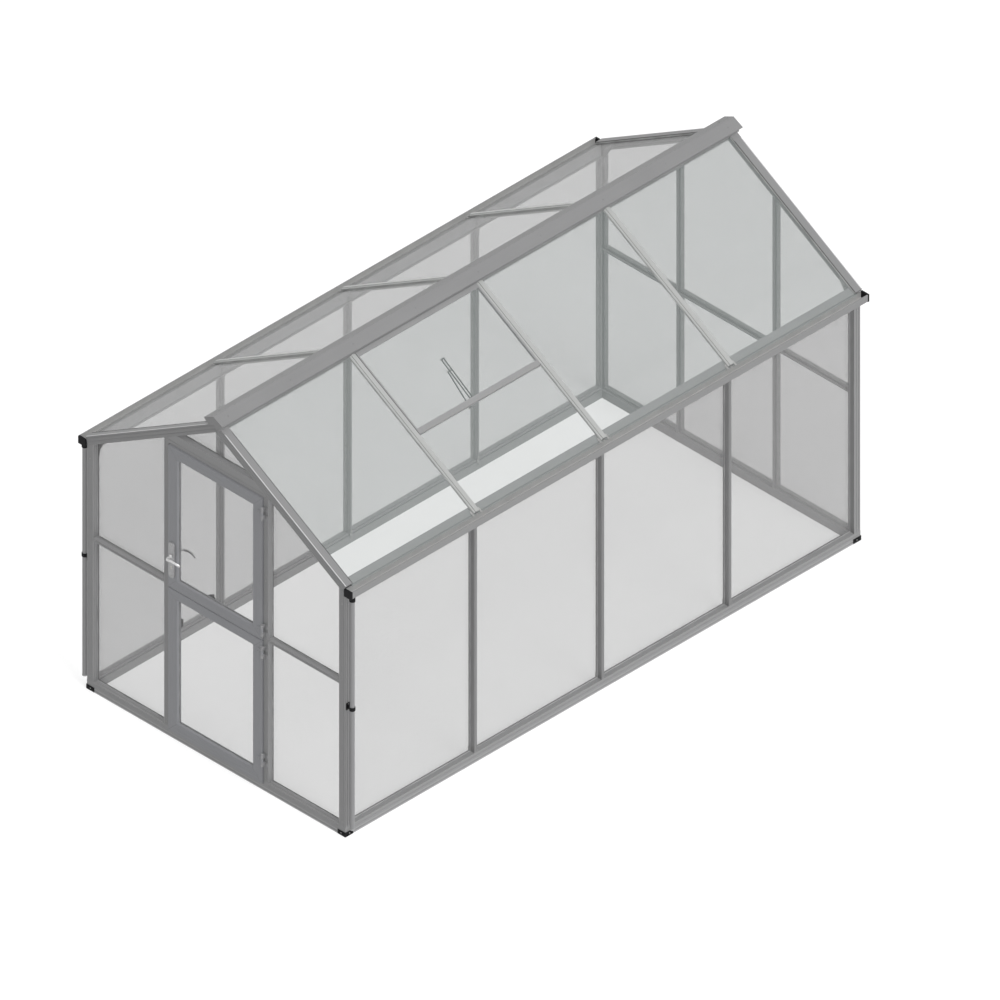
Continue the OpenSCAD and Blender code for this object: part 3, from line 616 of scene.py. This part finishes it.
finish_nodes(["door_post_left", "door_post_right", "rear_gable_bars"], post_upright)
finish_nodes(["door_lintel", "gable_mid_rails"], rail_across)
jamb_w = 0.034
jamb_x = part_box("door_post_right")[1].x - jamb_w
rails_low, rails_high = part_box("gable_mid_rails")
rail_half = 0.010
rear_rail_z = rails_low.z + rail_half
front_rail_z = rails_high.z - rail_half
rear_bar_x = 0.380
post_w = 0.050
from_joint = 0.014
jamb_screw_z = (base_top + 0.024, 0.56, front_rail_z + 0.40, 1.86)
rail_screw_x = (jamb_x + jamb_w + from_joint, wall_x - post_w - from_joint)
rear_screw_z = (base_top + 0.024, rear_rail_z - 0.030, rear_rail_z + 0.030, 1.80)
gable_screws = bmesh.new()
for sx in (-1, 1):
    out = Vector((0, -1, 0))
    for z in jamb_screw_z:
        pan_screw(gable_screws, (sx * (jamb_x + jamb_w / 2), door_gable, z), out, 0.0032)
    for x in rail_screw_x:
        pan_screw(gable_screws, (sx * x, door_gable, front_rail_z), out, 0.0026)
    for z in rear_screw_z:
        pan_screw(gable_screws, (sx * rear_bar_x, rear_gable, z), -out, 0.0026)
piece("gable_screws", gable_screws, zinc)


# Door seals: soft black rubber tubes pressed into the stop strips behind the leaves' edges.

rubber = moulded("black_rubber", (0.012, 0.012, 0.0125), rough=0.72, sheen=0.18)
lintel_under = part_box("door_lintel")[0].z
seals = bmesh.new()
seal_x, seal_y, seal_foot = jamb_x - 0.0090, door_gable + 0.0284, 0.052
seal_r, seal_l = 0.0024, lintel_under - 0.056
for sx in (-1, 1):
    lathe(seals, (sx * seal_x, seal_y, seal_foot), (0, 0, 1),
          [(0.0, 0.0), (seal_r, 0.0), (seal_r, seal_l), (0.0, seal_l)], sides=12)
piece("door_seals", seals, rubber)


# Gusset plates: galvanised steel triangles inside the gables that tie each corner post to its
# rafter with four bolts, and a smaller one beside the door with two.

finish_nodes(["gusset_plates"],
             plated("galvanised_steel", (0.30, 0.30, 0.30), rough=0.45, metal=0.3))
gusset_bolts = bmesh.new()
post_core = 0.040
gusset_in = post_core + 0.003
# each bolt at the eaves: how far in from the side wall's face, and its height
eave_bolts = ((0.044, 1.594), (0.046, 1.630), (0.110, 1.752), (0.080, 1.722))
door_bolt_x, below_roof = (0.645, 0.675), 0.045
for side in ("front", "rear"):
    place = wall_frame[side]
    for end in (-1, 1):
        for inset, z in eave_bolts:
            at = place @ Vector((end * (wall_x - inset), gusset_in, z))
            hex_bolt(gusset_bolts, at, facing(place, 1), 0.0048)
for x in door_bolt_x:
    z = roof_top - x * math.tan(pitch) - below_roof
    hex_bolt(gusset_bolts, (x, door_gable + gusset_in, z), (0, 1, 0), 0.0042)
piece("gusset_bolts", gusset_bolts, zinc)


# Glass: 4 mm float glass in the walls and a clearer, faintly green sheet in the roof. Both have
# the slight waviness of float glass and a thin film of dust.

DUST_SPREAD = 0.003


def glass(name, tone, cover):
    """Clear sheet seen as a light veil: cover is how much each face hides."""
    made, tree, shader, place = new_finish(name)
    wave = noise(tree, place, 1.6, 2.0)
    dust = noise(tree, place, 34.0, 5.0)
    veil = remap(tree, dust, cover - DUST_SPREAD, cover + DUST_SPREAD)
    # lamps and bounced light pass almost freely, so things behind a pane are not darkened
    seen = add(tree, "LightPath")
    lit = calc(tree, "MAXIMUM", seen.outputs["Is Shadow Ray"], seen.outputs["Is Diffuse Ray"])
    kept = remap(tree, lit, 1.0, 0.1, 0.0, 1.0)
    feed(tree, shader, {"Base Color": tinted(tree, tone, wave, 0.03),
                        "Roughness": remap(tree, dust, 0.04, 0.16, 0.35, 0.75),
                        "Alpha": calc(tree, "MULTIPLY", veil, kept),
                        "Normal": relief(tree, wave, 0.05, 0.001),
                        "IOR": 1.52})
    return made


for name, tone, cover, panes in (
        ("gable_glass", (0.262, 0.262, 0.262), 0.25, ["glass_front_gable", "glass_rear_gable"]),
        ("side_glass", (0.245, 0.245, 0.245), 0.32, ["glass_wall_right"]),
        ("shaded_side_glass", (0.245, 0.245, 0.245), 0.265, ["glass_wall_left"]),
        ("roof_glass", (0.240, 0.268, 0.260), 0.235, ["glass_roof_right", "vent_glass"]),
        ("shaded_roof_glass", (0.236, 0.241, 0.239), 0.33, ["glass_roof_left"]),
        ("door_glass", (0.262, 0.262, 0.265), 0.25, ["upper_leaf_glass", "lower_leaf_glass"])):
    finish_nodes(panes, glass(name, tone, cover))


# Glazing gaskets: grey rubber wedges pressed between the flanges and the panes from outside,
# mitred at the corners. A slim aluminium bead clamps each pane from inside.


def pane_outlines(node, outwards):
    """The corners of each pane's outer face, in order, seen from outside."""
    bm = bmesh.new()
    bm.from_mesh(nodes[node].data)
    bmesh.ops.remove_doubles(bm, verts=bm.verts, dist=1e-5)
    unseen = set(bm.verts)
    outlines = []
    while unseen:
        island, edge = set(), [min(unseen, key=lambda v: v.index)]
        while edge:
            v = edge.pop()
            if v in island:
                continue
            island.add(v)
            edge.extend(e.other_vert(v) for e in v.link_edges)
        unseen -= island
        height = max(v.co.dot(outwards) for v in island)
        face = [v.co.copy() for v in island if v.co.dot(outwards) > height - 1e-4]
        centre = sum(face, Vector()) / len(face)
        right = (Vector((0, 1, 0)) if abs(outwards.y) < 0.5 else Vector((1, 0, 0)))
        up = outwards.cross(right)
        face.sort(key=lambda p: math.atan2((p - centre).dot(up), (p - centre).dot(right)))
        outlines.append(face)
    bm.free()
    outlines.sort(key=lambda face: tuple(round(c, 4) for c in sum(face, Vector()) / len(face)))
    return outlines


def edge_laps(outline, lap, others):
    """How far the frame covers each edge: others lists (axis, place, lap) where it differs."""
    laps = []
    for a, b in zip(outline, outline[1:] + outline[:1]):
        middle = (a + b) / 2
        found = [other for axis, value, other in others if abs(middle[axis] - value) < 0.012]
        laps.append(found[0] if found else lap)
    return laps


def mitred_ring(bm, outline, outwards, laps, profile):
    """Sweeps a closed (inwards, outwards) profile round an outline, mitred at each corner."""
    count = len(outline)
    rings = []
    for i, corner_point in enumerate(outline):
        before = (corner_point - outline[i - 1]).normalized()
        after = (outline[(i + 1) % count] - corner_point).normalized()
        n1, n2 = outwards.cross(before), outwards.cross(after)
        c = n1.dot(n2)
        ring = []
        for inwards, height in profile:
            d1, d2 = laps[i - 1] + inwards, laps[i] + inwards
            a, b = (d1 - c * d2) / (1 - c * c), (d2 - c * d1) / (1 - c * c)
            ring.append(bm.verts.new(corner_point + n1 * a + n2 * b + outwards * height))
        rings.append(ring)
    size = len(profile)
    for i in range(count):
        first, second = rings[i], rings[(i + 1) % count]
        for k in range(size):
            n = (k + 1) % size
            bm.faces.new((first[k], second[k], second[n], first[n]))


gasket_rubber = moulded("grey_gasket_rubber", (0.27, 0.27, 0.272), rough=0.7, sheen=0.2)
bead_metal = aluminium("bead_aluminium", (0.245, 0.245, 0.247), ALONG_Z)
GASKET = [(-0.0030, 0.0001), (-0.0030, 0.0004), (0.0002, 0.0004), (0.0002, 0.0036),
          (0.0014, 0.0034), (0.0036, 0.0012), (0.0040, 0.0001)]
BEAD = [(-0.0050, -0.0041), (0.0045, -0.0041), (0.0045, -0.0065), (0.0020, -0.0120),
        (-0.0050, -0.0120)]
# on the gables a flat strip leaves room for the gusset plates
FLAT_BEAD = [(-0.0050, -0.0041), (0.0045, -0.0041), (0.0045, -0.0048), (0.0032, -0.0053),
             (-0.0050, -0.0053)]
BAR_LAP, POST_LAP, RAIL_LAP = 0.0055, 0.0065, 0.0095
post_inner = 0.0435
side_bars = [(1, mid_y + y, BAR_LAP) for y in bar_places]
side_bars += [(1, mid_y + end * (half_length - post_inner), POST_LAP) for end in (-1, 1)]
front_rail = (2, front_rail_z, BAR_LAP)
rear_bars = [(2, rear_rail_z, BAR_LAP), (0, -rear_bar_x, BAR_LAP), (0, rear_bar_x, BAR_LAP)]
walls = {
    "glass_wall_left": (Vector((-1, 0, 0)), side_bars, BEAD),
    "glass_wall_right": (Vector((1, 0, 0)), side_bars, BEAD),
    "glass_front_gable": (Vector((0, -1, 0)), [front_rail], FLAT_BEAD),
    "glass_rear_gable": (Vector((0, 1, 0)), rear_bars, FLAT_BEAD),
}
for node, (outwards, others, bead_profile) in walls.items():
    gasket, beads = bmesh.new(), bmesh.new()
    for outline in pane_outlines(node, outwards):
        laps = edge_laps(outline, RAIL_LAP, others)
        mitred_ring(gasket, outline, outwards, laps, GASKET)
        mitred_ring(beads, outline, outwards, laps, bead_profile)
    wall_name = node.replace("glass_", "")
    piece(wall_name + "_gaskets", gasket, gasket_rubber)
    piece(wall_name + "_inner_beads", beads, bead_metal)


# Roof gaskets: strips of a paler rubber along both long edges of each roof pane, and a black
# one pressed into the inner edge of each rafter.

ROOF_GASKET = [(-0.0030, 0.0001), (-0.0030, 0.0004), (0.0002, 0.0004), (0.0002, 0.0062),
               (0.0014, 0.0058), (0.0036, 0.0012), (0.0040, 0.0001)]
half_gap = 0.022
rafter_inner = half_length + rafter_lip - 0.055
stops = [-rafter_inner] + bar_places + [rafter_inner]
under_cap, under_vent = 0.0545, 0.640
roof_gaskets, rafter_seals = bmesh.new(), bmesh.new()
for side, place in slope_frame.items():
    for end in (-1, 1):
        y = end * (half_length + rafter_lip)
        prism(rafter_seals, [(y - end * 0.0520, 0.0001), (y - end * 0.0550, 0.0001),
                             (y - end * 0.0544, 0.0012), (y - end * 0.0526, 0.0012)],
              rib_start, rib_end, place)
    for i in range(bar_count + 1):
        start = under_vent if side == "right" and i == 1 else under_cap
        for edge, inward in ((stops[i] + (half_gap if i else 0), 1),
                             (stops[i + 1] - (half_gap if i < bar_count else 0), -1)):
            outline = [(edge + inward * across, glass_w + up) for across, up in ROOF_GASKET]
            prism(roof_gaskets, outline, start, eave_u, place)
pale_rubber = moulded("pale_gasket_rubber", (0.33, 0.335, 0.33), rough=0.7, sheen=0.2)
piece("roof_gaskets", roof_gaskets, pale_rubber)
piece("rafter_seals", rafter_seals, rubber)


# Roof vent: a slim aluminium sash between two roof bars, hinged along the ridge. It rests on a
# cross rail, and a folded stay with two arms and a strut would push it open.

finish_nodes(["vent_frame", "vent_sill"],
             aluminium("vent_aluminium", (0.255, 0.255, 0.257), ALONG_SLOPE, sloping=True))
finish_nodes(["vent_stay"],
             plated("stay_steel", (0.085, 0.085, 0.087), rough=0.4, metal=0.3))
vent_low, vent_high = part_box("vent_frame")
vent_y0, vent_y1 = vent_low.y - mid_y, vent_high.y - mid_y
place = slope_frame["right"]
hinge_rail = bmesh.new()
u_hinge = (beam_half + 0.017) / math.cos(pitch)
block(hinge_rail, u_hinge - 0.0120, u_hinge - 0.0010, -0.0100, -0.0006, vent_y0 + 0.001,
      vent_y1 - 0.001, place @ swap_xy)
piece("vent_hinge_rail", hinge_rail, rail_along)

stay_half = 0.026
stay_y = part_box("vent_stay")[0].y + stay_half - mid_y
vent_u = 0.540 / math.cos(pitch)
# each joint: its place down the slope and below it, and the bolt's two ends along the house
stay_joints = ((vent_u - 0.010, -0.044, -0.026, 0.020), (vent_u - 0.300, -0.026, -0.011, 0.011),
               (vent_u - 0.222, -0.034, -0.023, 0.011))
stay_bolts = bmesh.new()
for u, w, low_y, high_y in stay_joints:
    for dy, out in ((low_y, -1), (high_y, 1)):
        hex_bolt(stay_bolts, place @ Vector((u, stay_y + dy, w)), facing(place, out), 0.0040)
piece("vent_stay_bolts", stay_bolts, zinc)


# Door hinges: three-knuckle steel butt hinges, two on each leaf, with domed pin ends and
# pan-head screws through their plates.

hinge_steel = plated("hinge_steel", (0.26, 0.26, 0.265), rough=0.42, metal=0.3)
finish_nodes(["door_hinges"], hinge_steel)
hinge_x, hinge_y = 0.379, -2.028
knuckle_h = 0.026
pin_r = 0.0074
hinge_plate_t = 0.003
post_screw_x = hinge_x + 0.0195
upper_hinges, lower_hinges = (1.095, 1.900), (0.213, 0.945)
pin_ends, post_plate_screws = bmesh.new(), bmesh.new()
for z in upper_hinges + lower_hinges:
    for end in (-1, 1):
        top = z + end * (1.5 * knuckle_h + 0.001)
        lathe(pin_ends, (hinge_x, hinge_y, top), (0, 0, end),
              [(pin_r, -0.001), (pin_r, 0.0012), (0.0060, 0.0036), (0.0034, 0.0052),
               (0.0, 0.0058)])
        plate_mid = z + end * (knuckle_h + 0.001)
        for dz in (-0.006, 0.006):
            at = (post_screw_x, door_gable - hinge_plate_t, plate_mid + dz)
            pan_screw(post_plate_screws, at, (0, -1, 0), 0.0028)
piece("hinge_pin_ends", pin_ends, hinge_steel)
piece("hinge_post_screws", post_plate_screws, dull_zinc)


# Door leaves: two glazed frames of wide aluminium bars, mitred and cleated at the corners,
# with the extrusion lines turning at each mitre. The finish is a little bluer than the frame.

LEAF_TONE = (0.242, 0.245, 0.257)
leaf_half = 0.370


def mitred_aluminium(name, node):
    """Aluminium bars round an opening: lines follow each bar and meet in a hairline mitre."""
    low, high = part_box(node)
    made, tree, shader, place = new_finish(name)
    split = add(tree, "SeparateXYZ", {0: place})
    out_x = calc(tree, "ABSOLUTE", split.outputs["X"])
    out_z = calc(tree, "SUBTRACT", split.outputs["Z"], (low.z + high.z) / 2)
    from_side = calc(tree, "SUBTRACT", leaf_half, out_x)
    from_end = calc(tree, "SUBTRACT", (high.z - low.z) / 2, calc(tree, "ABSOLUTE", out_z))
    gap = calc(tree, "SUBTRACT", from_side, from_end)
    seam = calc(tree, "LESS_THAN", calc(tree, "ABSOLUTE", gap), 0.0005)
    lines = add(tree, "Mix", {0: calc(tree, "GREATER_THAN", gap, 0.0),
                              2: extrusion_lines(tree, place, ALONG_Z),
                              3: extrusion_lines(tree, place, ALONG_X)}).outputs[0]
    worn = calc(tree, "MULTIPLY", lines, 0.5)
    worn = calc(tree, "MULTIPLY_ADD", noise(tree, place, 3.1, 4.0), 0.5, worn)
    joint = add(tree, "Mix", {0: seam, 6: tinted(tree, LEAF_TONE, worn, 0.06),
                              7: (0.06, 0.06, 0.065, 1)}, data_type="RGBA")
    feed(tree, shader, {"Base Color": joint.outputs[2],
                        "Roughness": remap(tree, worn, 0.34, 0.50),
                        "Normal": relief(tree, calc(tree, "SUBTRACT", lines, seam), 0.35, 0.0004),
                        "Metallic": 0.15, "Specular IOR Level": 0.35})
    return made


for leaf in ("upper_leaf", "lower_leaf"):
    finish_nodes([leaf + "_frame"], mitred_aluminium(leaf + "_aluminium", leaf + "_frame"))
leaf_front = door_gable - 0.010
stile = 0.066
meeting_rail = 0.054
leaf_bead = aluminium("leaf_bead_aluminium", LEAF_TONE, ALONG_Z)
for leaf, bottom_rail, top_rail in (("upper_leaf", meeting_rail, stile),
                                    ("lower_leaf", stile, meeting_rail)):
    low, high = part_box(leaf + "_frame")
    low_z, high_z = low.z + bottom_rail, high.z - top_rail
    opening = [Vector((x, leaf_front, z)) for x, z in (
        (-leaf_half + stile, low_z), (leaf_half - stile, low_z),
        (leaf_half - stile, high_z), (-leaf_half + stile, high_z))]
    around = (opening, Vector((0, -1, 0)), [0.0] * len(opening))
    bead, gasket, edge_rib = bmesh.new(), bmesh.new(), bmesh.new()
    # outer bead: a sloping face from the leaf's front down to the pane
    mitred_ring(bead, *around, [(0.0003, -0.0010), (0.0040, -0.0020), (0.0085, -0.0120),
                                (0.0085, -0.0145), (0.0003, -0.0145)])
    # inner bead: a stepped clip on the room side
    mitred_ring(bead, *around, [(0.0003, -0.0210), (0.0080, -0.0210), (0.0080, -0.0240),
                                (0.0050, -0.0330), (0.0003, -0.0330)])
    mitred_ring(gasket, *around, [(0.0085, -0.0140), (0.0085, -0.0125), (0.0100, -0.0128),
                                  (0.0110, -0.0148), (0.0085, -0.0149)])
    # two raised lines round the face of the leaf
    for inset in (-0.048, -0.022):
        mitred_ring(edge_rib, *around, [(inset, 0.0), (inset + 0.0006, 0.0011),
                                        (inset + 0.0024, 0.0011), (inset + 0.0030, 0.0)])
    piece(leaf + "_beads", bead, leaf_bead, leaf)
    piece(leaf + "_gasket", gasket, gasket_rubber, leaf)
    piece(leaf + "_face_ribs", edge_rib, leaf_bead, leaf)

leaf_screw_x = (0.342, 0.358)
for leaf, hinges in (("upper_leaf", upper_hinges), ("lower_leaf", lower_hinges)):
    leaf_screws = bmesh.new()
    for z in hinges:
        for x in leaf_screw_x:
            pan_screw(leaf_screws, (x, leaf_front - hinge_plate_t, z), (0, -1, 0), 0.0030)
    piece(leaf + "_hinge_screws", leaf_screws, dull_zinc, leaf)


# Handle plates: long satin steel plates on both faces of the upper leaf, each held by two
# screws. A profile cylinder with a key slot shows in both.

finish_nodes(["handle_plates"],
             plated("satin_plate_metal", (0.34, 0.34, 0.345), rough=0.36, metal=0.4))
plate_low, plate_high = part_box("handle_plates")
spindle_x = (plate_low.x + plate_high.x) / 2
lever_z = plate_high.z - 0.090
cylinder_drop, cylinder_sunk = 0.072, 0.0070
slot_half = 0.0023
end_inset = 0.014
plate_screws, cylinders = bmesh.new(), bmesh.new()
for y, out in ((plate_low.y, -1), (plate_high.y, 1)):
    for z in (plate_low.z + end_inset, plate_high.z - end_inset):
        pan_screw(plate_screws, (spindle_x, y, z), (0, out, 0), 0.0040)
    back = y - out * cylinder_sunk
    lathe(cylinders, (spindle_x, back, lever_z - cylinder_drop), (0, out, 0),
          [(0.0048, 0.0), (0.0048, 0.0078), (0.0042, 0.0084), (0.0014, 0.0084), (0.0011, 0.0050),
           (0.0, 0.0050)], sides=24)
    block(cylinders, 0.0, out * 0.0076, -0.0915, -0.0755, -slot_half, slot_half,
          Matrix.Translation((spindle_x, back, lever_z)))
piece("handle_plate_screws", plate_screws, zinc, "upper_leaf")
piece("lock_cylinder", cylinders, plated("lock_steel", (0.45, 0.43, 0.38), rough=0.3, metal=0.8),
      "upper_leaf")


# Lever: a bent, tapered bar on a round neck outside and a second one inside, in satin metal; the
# inside one has a darker copy of the metal as painted shade.
# Both are fixed to one spindle, so they turn together.

lever_low, lever_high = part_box("door_lever")
hub_r = 0.0105


def lever_grip(bm, y_plate, y_grip, curl):
    """One grip: out from the plate, round a bend and along to a tip that curls back."""
    out = 1 if y_grip > y_plate else -1
    bend, bend_steps, grip_steps = 0.016, 6, 14
    neck_r, sides = 0.0068, 20
    rise, fall = 0.008, 0.012
    curl_from = 0.55
    reach = lever_high.x - spindle_x - 0.006
    path = [Vector((0, y_plate, 0)), Vector((0, y_grip - out * bend, 0))]
    for k in range(1, bend_steps + 1):
        a = math.pi / 2 * k / bend_steps
        path.append(Vector((bend * (1 - math.cos(a)), y_grip - out * bend * (1 - math.sin(a)), 0)))
    for k in range(1, grip_steps + 1):
        t = k / grip_steps
        x = bend + (reach - bend) * t
        z = rise * math.sin(math.pi * t * 0.9) - fall * t * t * t
        back = curl * max(0.0, t - curl_from) ** 2 / 0.2
        path.append(Vector((x, y_grip - out * back, z)))
    rings = []
    pivot = Vector((spindle_x, 0, lever_z))
    for i, p in enumerate(path):
        ahead = path[min(i + 1, len(path) - 1)] - path[max(i - 1, 0)]
        ahead.normalize()
        up = Vector((0, 0, 1))
        up = (up - ahead * up.dot(ahead)).normalized()
        wide = ahead.cross(up)
        t = i / (len(path) - 1)
        tall = neck_r + 0.0016 * t
        thick = neck_r - 0.0018 * t
        if i == len(path) - 1:
            tall, thick = tall * 0.72, thick * 0.72
        rings.append([
            bm.verts.new(pivot + p + up * tall * math.sin(a) + wide * thick * math.cos(a))
            for a in (2 * math.pi * k / sides for k in range(sides))
        ])
    for first, second in zip(rings, rings[1:]):
        for k in range(sides):
            n = (k + 1) % sides
            bm.faces.new((first[k], first[n], second[n], second[k]))
    bm.faces.new(rings[0])
    tip = bm.verts.new(pivot + path[-1] + (path[-1] - path[-2]) * 0.35)
    for k in range(sides):
        bm.faces.new((rings[-1][k], rings[-1][(k + 1) % sides], tip))
    lathe(bm, (spindle_x, y_plate, lever_z), (0, out, 0),
          [(0.0, 0.0), (hub_r, 0.0), (hub_r, 0.006), (hub_r - 0.0012, 0.0075), (0.0, 0.0075)],
          sides=28)


lever_metal = plated("satin_lever_metal", (0.66, 0.66, 0.66), rough=0.30, metal=0.5)
# painted shade: the inside lever's metal is a darker copy of the outside one's
shaded_lever_metal = plated("lever_painted_shade_metal", (0.40, 0.40, 0.40), rough=0.36, metal=0.4)
outer_lever, inner_lever = bmesh.new(), bmesh.new()
clear = 0.0005
lever_grip(outer_lever, plate_low.y - clear, lever_low.y + 0.007, 0.012)
lever_grip(inner_lever, plate_high.y + clear, lever_high.y + 0.001, 0.002)
spindle_r, spindle_l = 0.0038, plate_high.y - plate_low.y + 2 * clear
lathe(outer_lever, (spindle_x, plate_low.y - clear, lever_z), (0, 1, 0),
      [(0.0, 0.0), (spindle_r, 0.0), (spindle_r, spindle_l), (0.0, spindle_l)], sides=4)
for name, bm, metal in (("lever_outer", outer_lever, lever_metal),
                        ("lever_inner", inner_lever, shaded_lever_metal)):
    lever_piece = piece(name, bm, metal, "lever")
    for polygon in lever_piece.data.polygons:
        polygon.use_smooth = True
    rounded = lever_piece.modifiers.new("rounded", "SUBSURF")
    rounded.levels = rounded.render_levels = 1
    if name == "lever_outer":
        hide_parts("door_lever")


# Latches: a round turn knob on a black plastic plate ties the two leaves together at the split
# from inside, and a bolt on the lower leaf holds that leaf shut by itself.

finish_nodes(["split_latch", "lower_bolt"], black_plastic)
leaf_depth = 0.035
latch_base_t = 0.006
for node, body in (("split_latch", "upper_leaf"), ("lower_bolt", "lower_leaf")):
    low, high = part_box(node)
    latch_screws = bmesh.new()
    back = leaf_front + leaf_depth + latch_base_t
    if node == "split_latch":
        spots = [(x, low.z + up) for x in (low.x + 0.0035, high.x - 0.0035)
                 for up in (0.010, 0.048)]
    else:
        spots = [(low.x + 0.005, low.z + 0.012), (low.x + 0.005, high.z - 0.012),
                 (low.x + 0.036, low.z + 0.003), (low.x + 0.036, high.z - 0.003)]
    for x, z in spots:
        pan_screw(latch_screws, (x, back, z), (0, 1, 0), 0.0022)
    piece(node + "_screws", latch_screws, zinc, body)


# Studio: a plain white floor under soft light from the right and above, with a white surround.
# The camera looks down on the door gable and the right wall without perspective.

floor_half = 20.0
floor_drop = -0.001
floor_glow = 0.22
floor_mesh = bmesh.new()
floor_mesh.faces.new([floor_mesh.verts.new((sx * floor_half, sy * floor_half, floor_drop))
                      for sx, sy in ((-1, -1), (1, -1), (1, 1), (-1, 1))])
floor_data = bpy.data.meshes.new("studio_floor")
floor_mesh.to_mesh(floor_data)
floor_mesh.free()
studio_floor = bpy.data.objects.new("studio_floor", floor_data)
scene.collection.objects.link(studio_floor)
studio_floor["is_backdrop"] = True


def looked_at(tree):
    """1 for what is looked at, straight or in a reflection, and 0 for the light it gives."""
    seen = add(tree, "LightPath").outputs
    looks = calc(tree, "MAXIMUM", seen["Is Camera Ray"], seen["Is Glossy Ray"])
    return calc(tree, "MAXIMUM", looks, seen["Is Transmission Ray"])


floor_paint, tree, shader, place = new_finish("floor_paint")
grain = add(tree, "TexNoise", {"Vector": place, "Scale": 60.0}).outputs["Fac"]
feed(tree, shader, {"Base Color": (0.82, 0.82, 0.82, 1), "Roughness": 0.9,
                    "Specular IOR Level": 0.0, "Normal": relief(tree, grain, 0.05, 0.001)})
lift = calc(tree, "MULTIPLY", looked_at(tree), floor_glow)
glow = add(tree, "Emission", {"Color": (1, 1, 1, 1), "Strength": lift})
both = add(tree, "AddShader", {0: shader.outputs[0], 1: glow.outputs[0]})
tree.links.new(both.outputs[0], tree.nodes["Material Output"].inputs["Surface"])
floor_data.materials.append(floor_paint)

ambient = 0.36
world = bpy.data.worlds.new("white_surround")
world.use_nodes = True
scene.world = world
tree = world.node_tree
feed(tree, tree.nodes["Background"], {
    "Color": (1, 1, 1, 1), "Strength": remap(tree, looked_at(tree), ambient, 1.0, 0.0, 1.0)})

# the key is split: a quarter of it casts the shadows, and the rest fills them from the same side
key_side = Vector((0.62, -0.05, 0.78))
key_power = 0.92 * math.pi
key_width = math.radians(24)
for name, share, shadow in (("key_light", 0.25, True), ("key_fill", 0.75, False)):
    lamp = bpy.data.lights.new(name, "SUN")
    lamp.energy = key_power * share
    lamp.angle = key_width
    lamp.use_shadow = shadow
    lamp_object = bpy.data.objects.new(name, lamp)
    lamp_object.rotation_euler = key_side.to_track_quat("Z", "Y").to_euler()
    scene.collection.objects.link(lamp_object)

view_width = 5.592
view_middle = Vector((0.104, 0.129, 0.780))
camera_distance = 12
camera_data = bpy.data.cameras.new("camera")
camera_data.type = "ORTHO"
camera_data.ortho_scale = view_width
camera = bpy.data.objects.new("camera", camera_data)
back = Vector((1, -1, 1)).normalized()
camera.location = view_middle + back * camera_distance
camera.rotation_euler = back.to_track_quat("Z", "Y").to_euler()
scene.collection.objects.link(camera)
scene.camera = camera
scene.view_settings.view_transform = "Standard"
scene.cycles.transparent_max_bounces = 40

low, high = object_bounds()
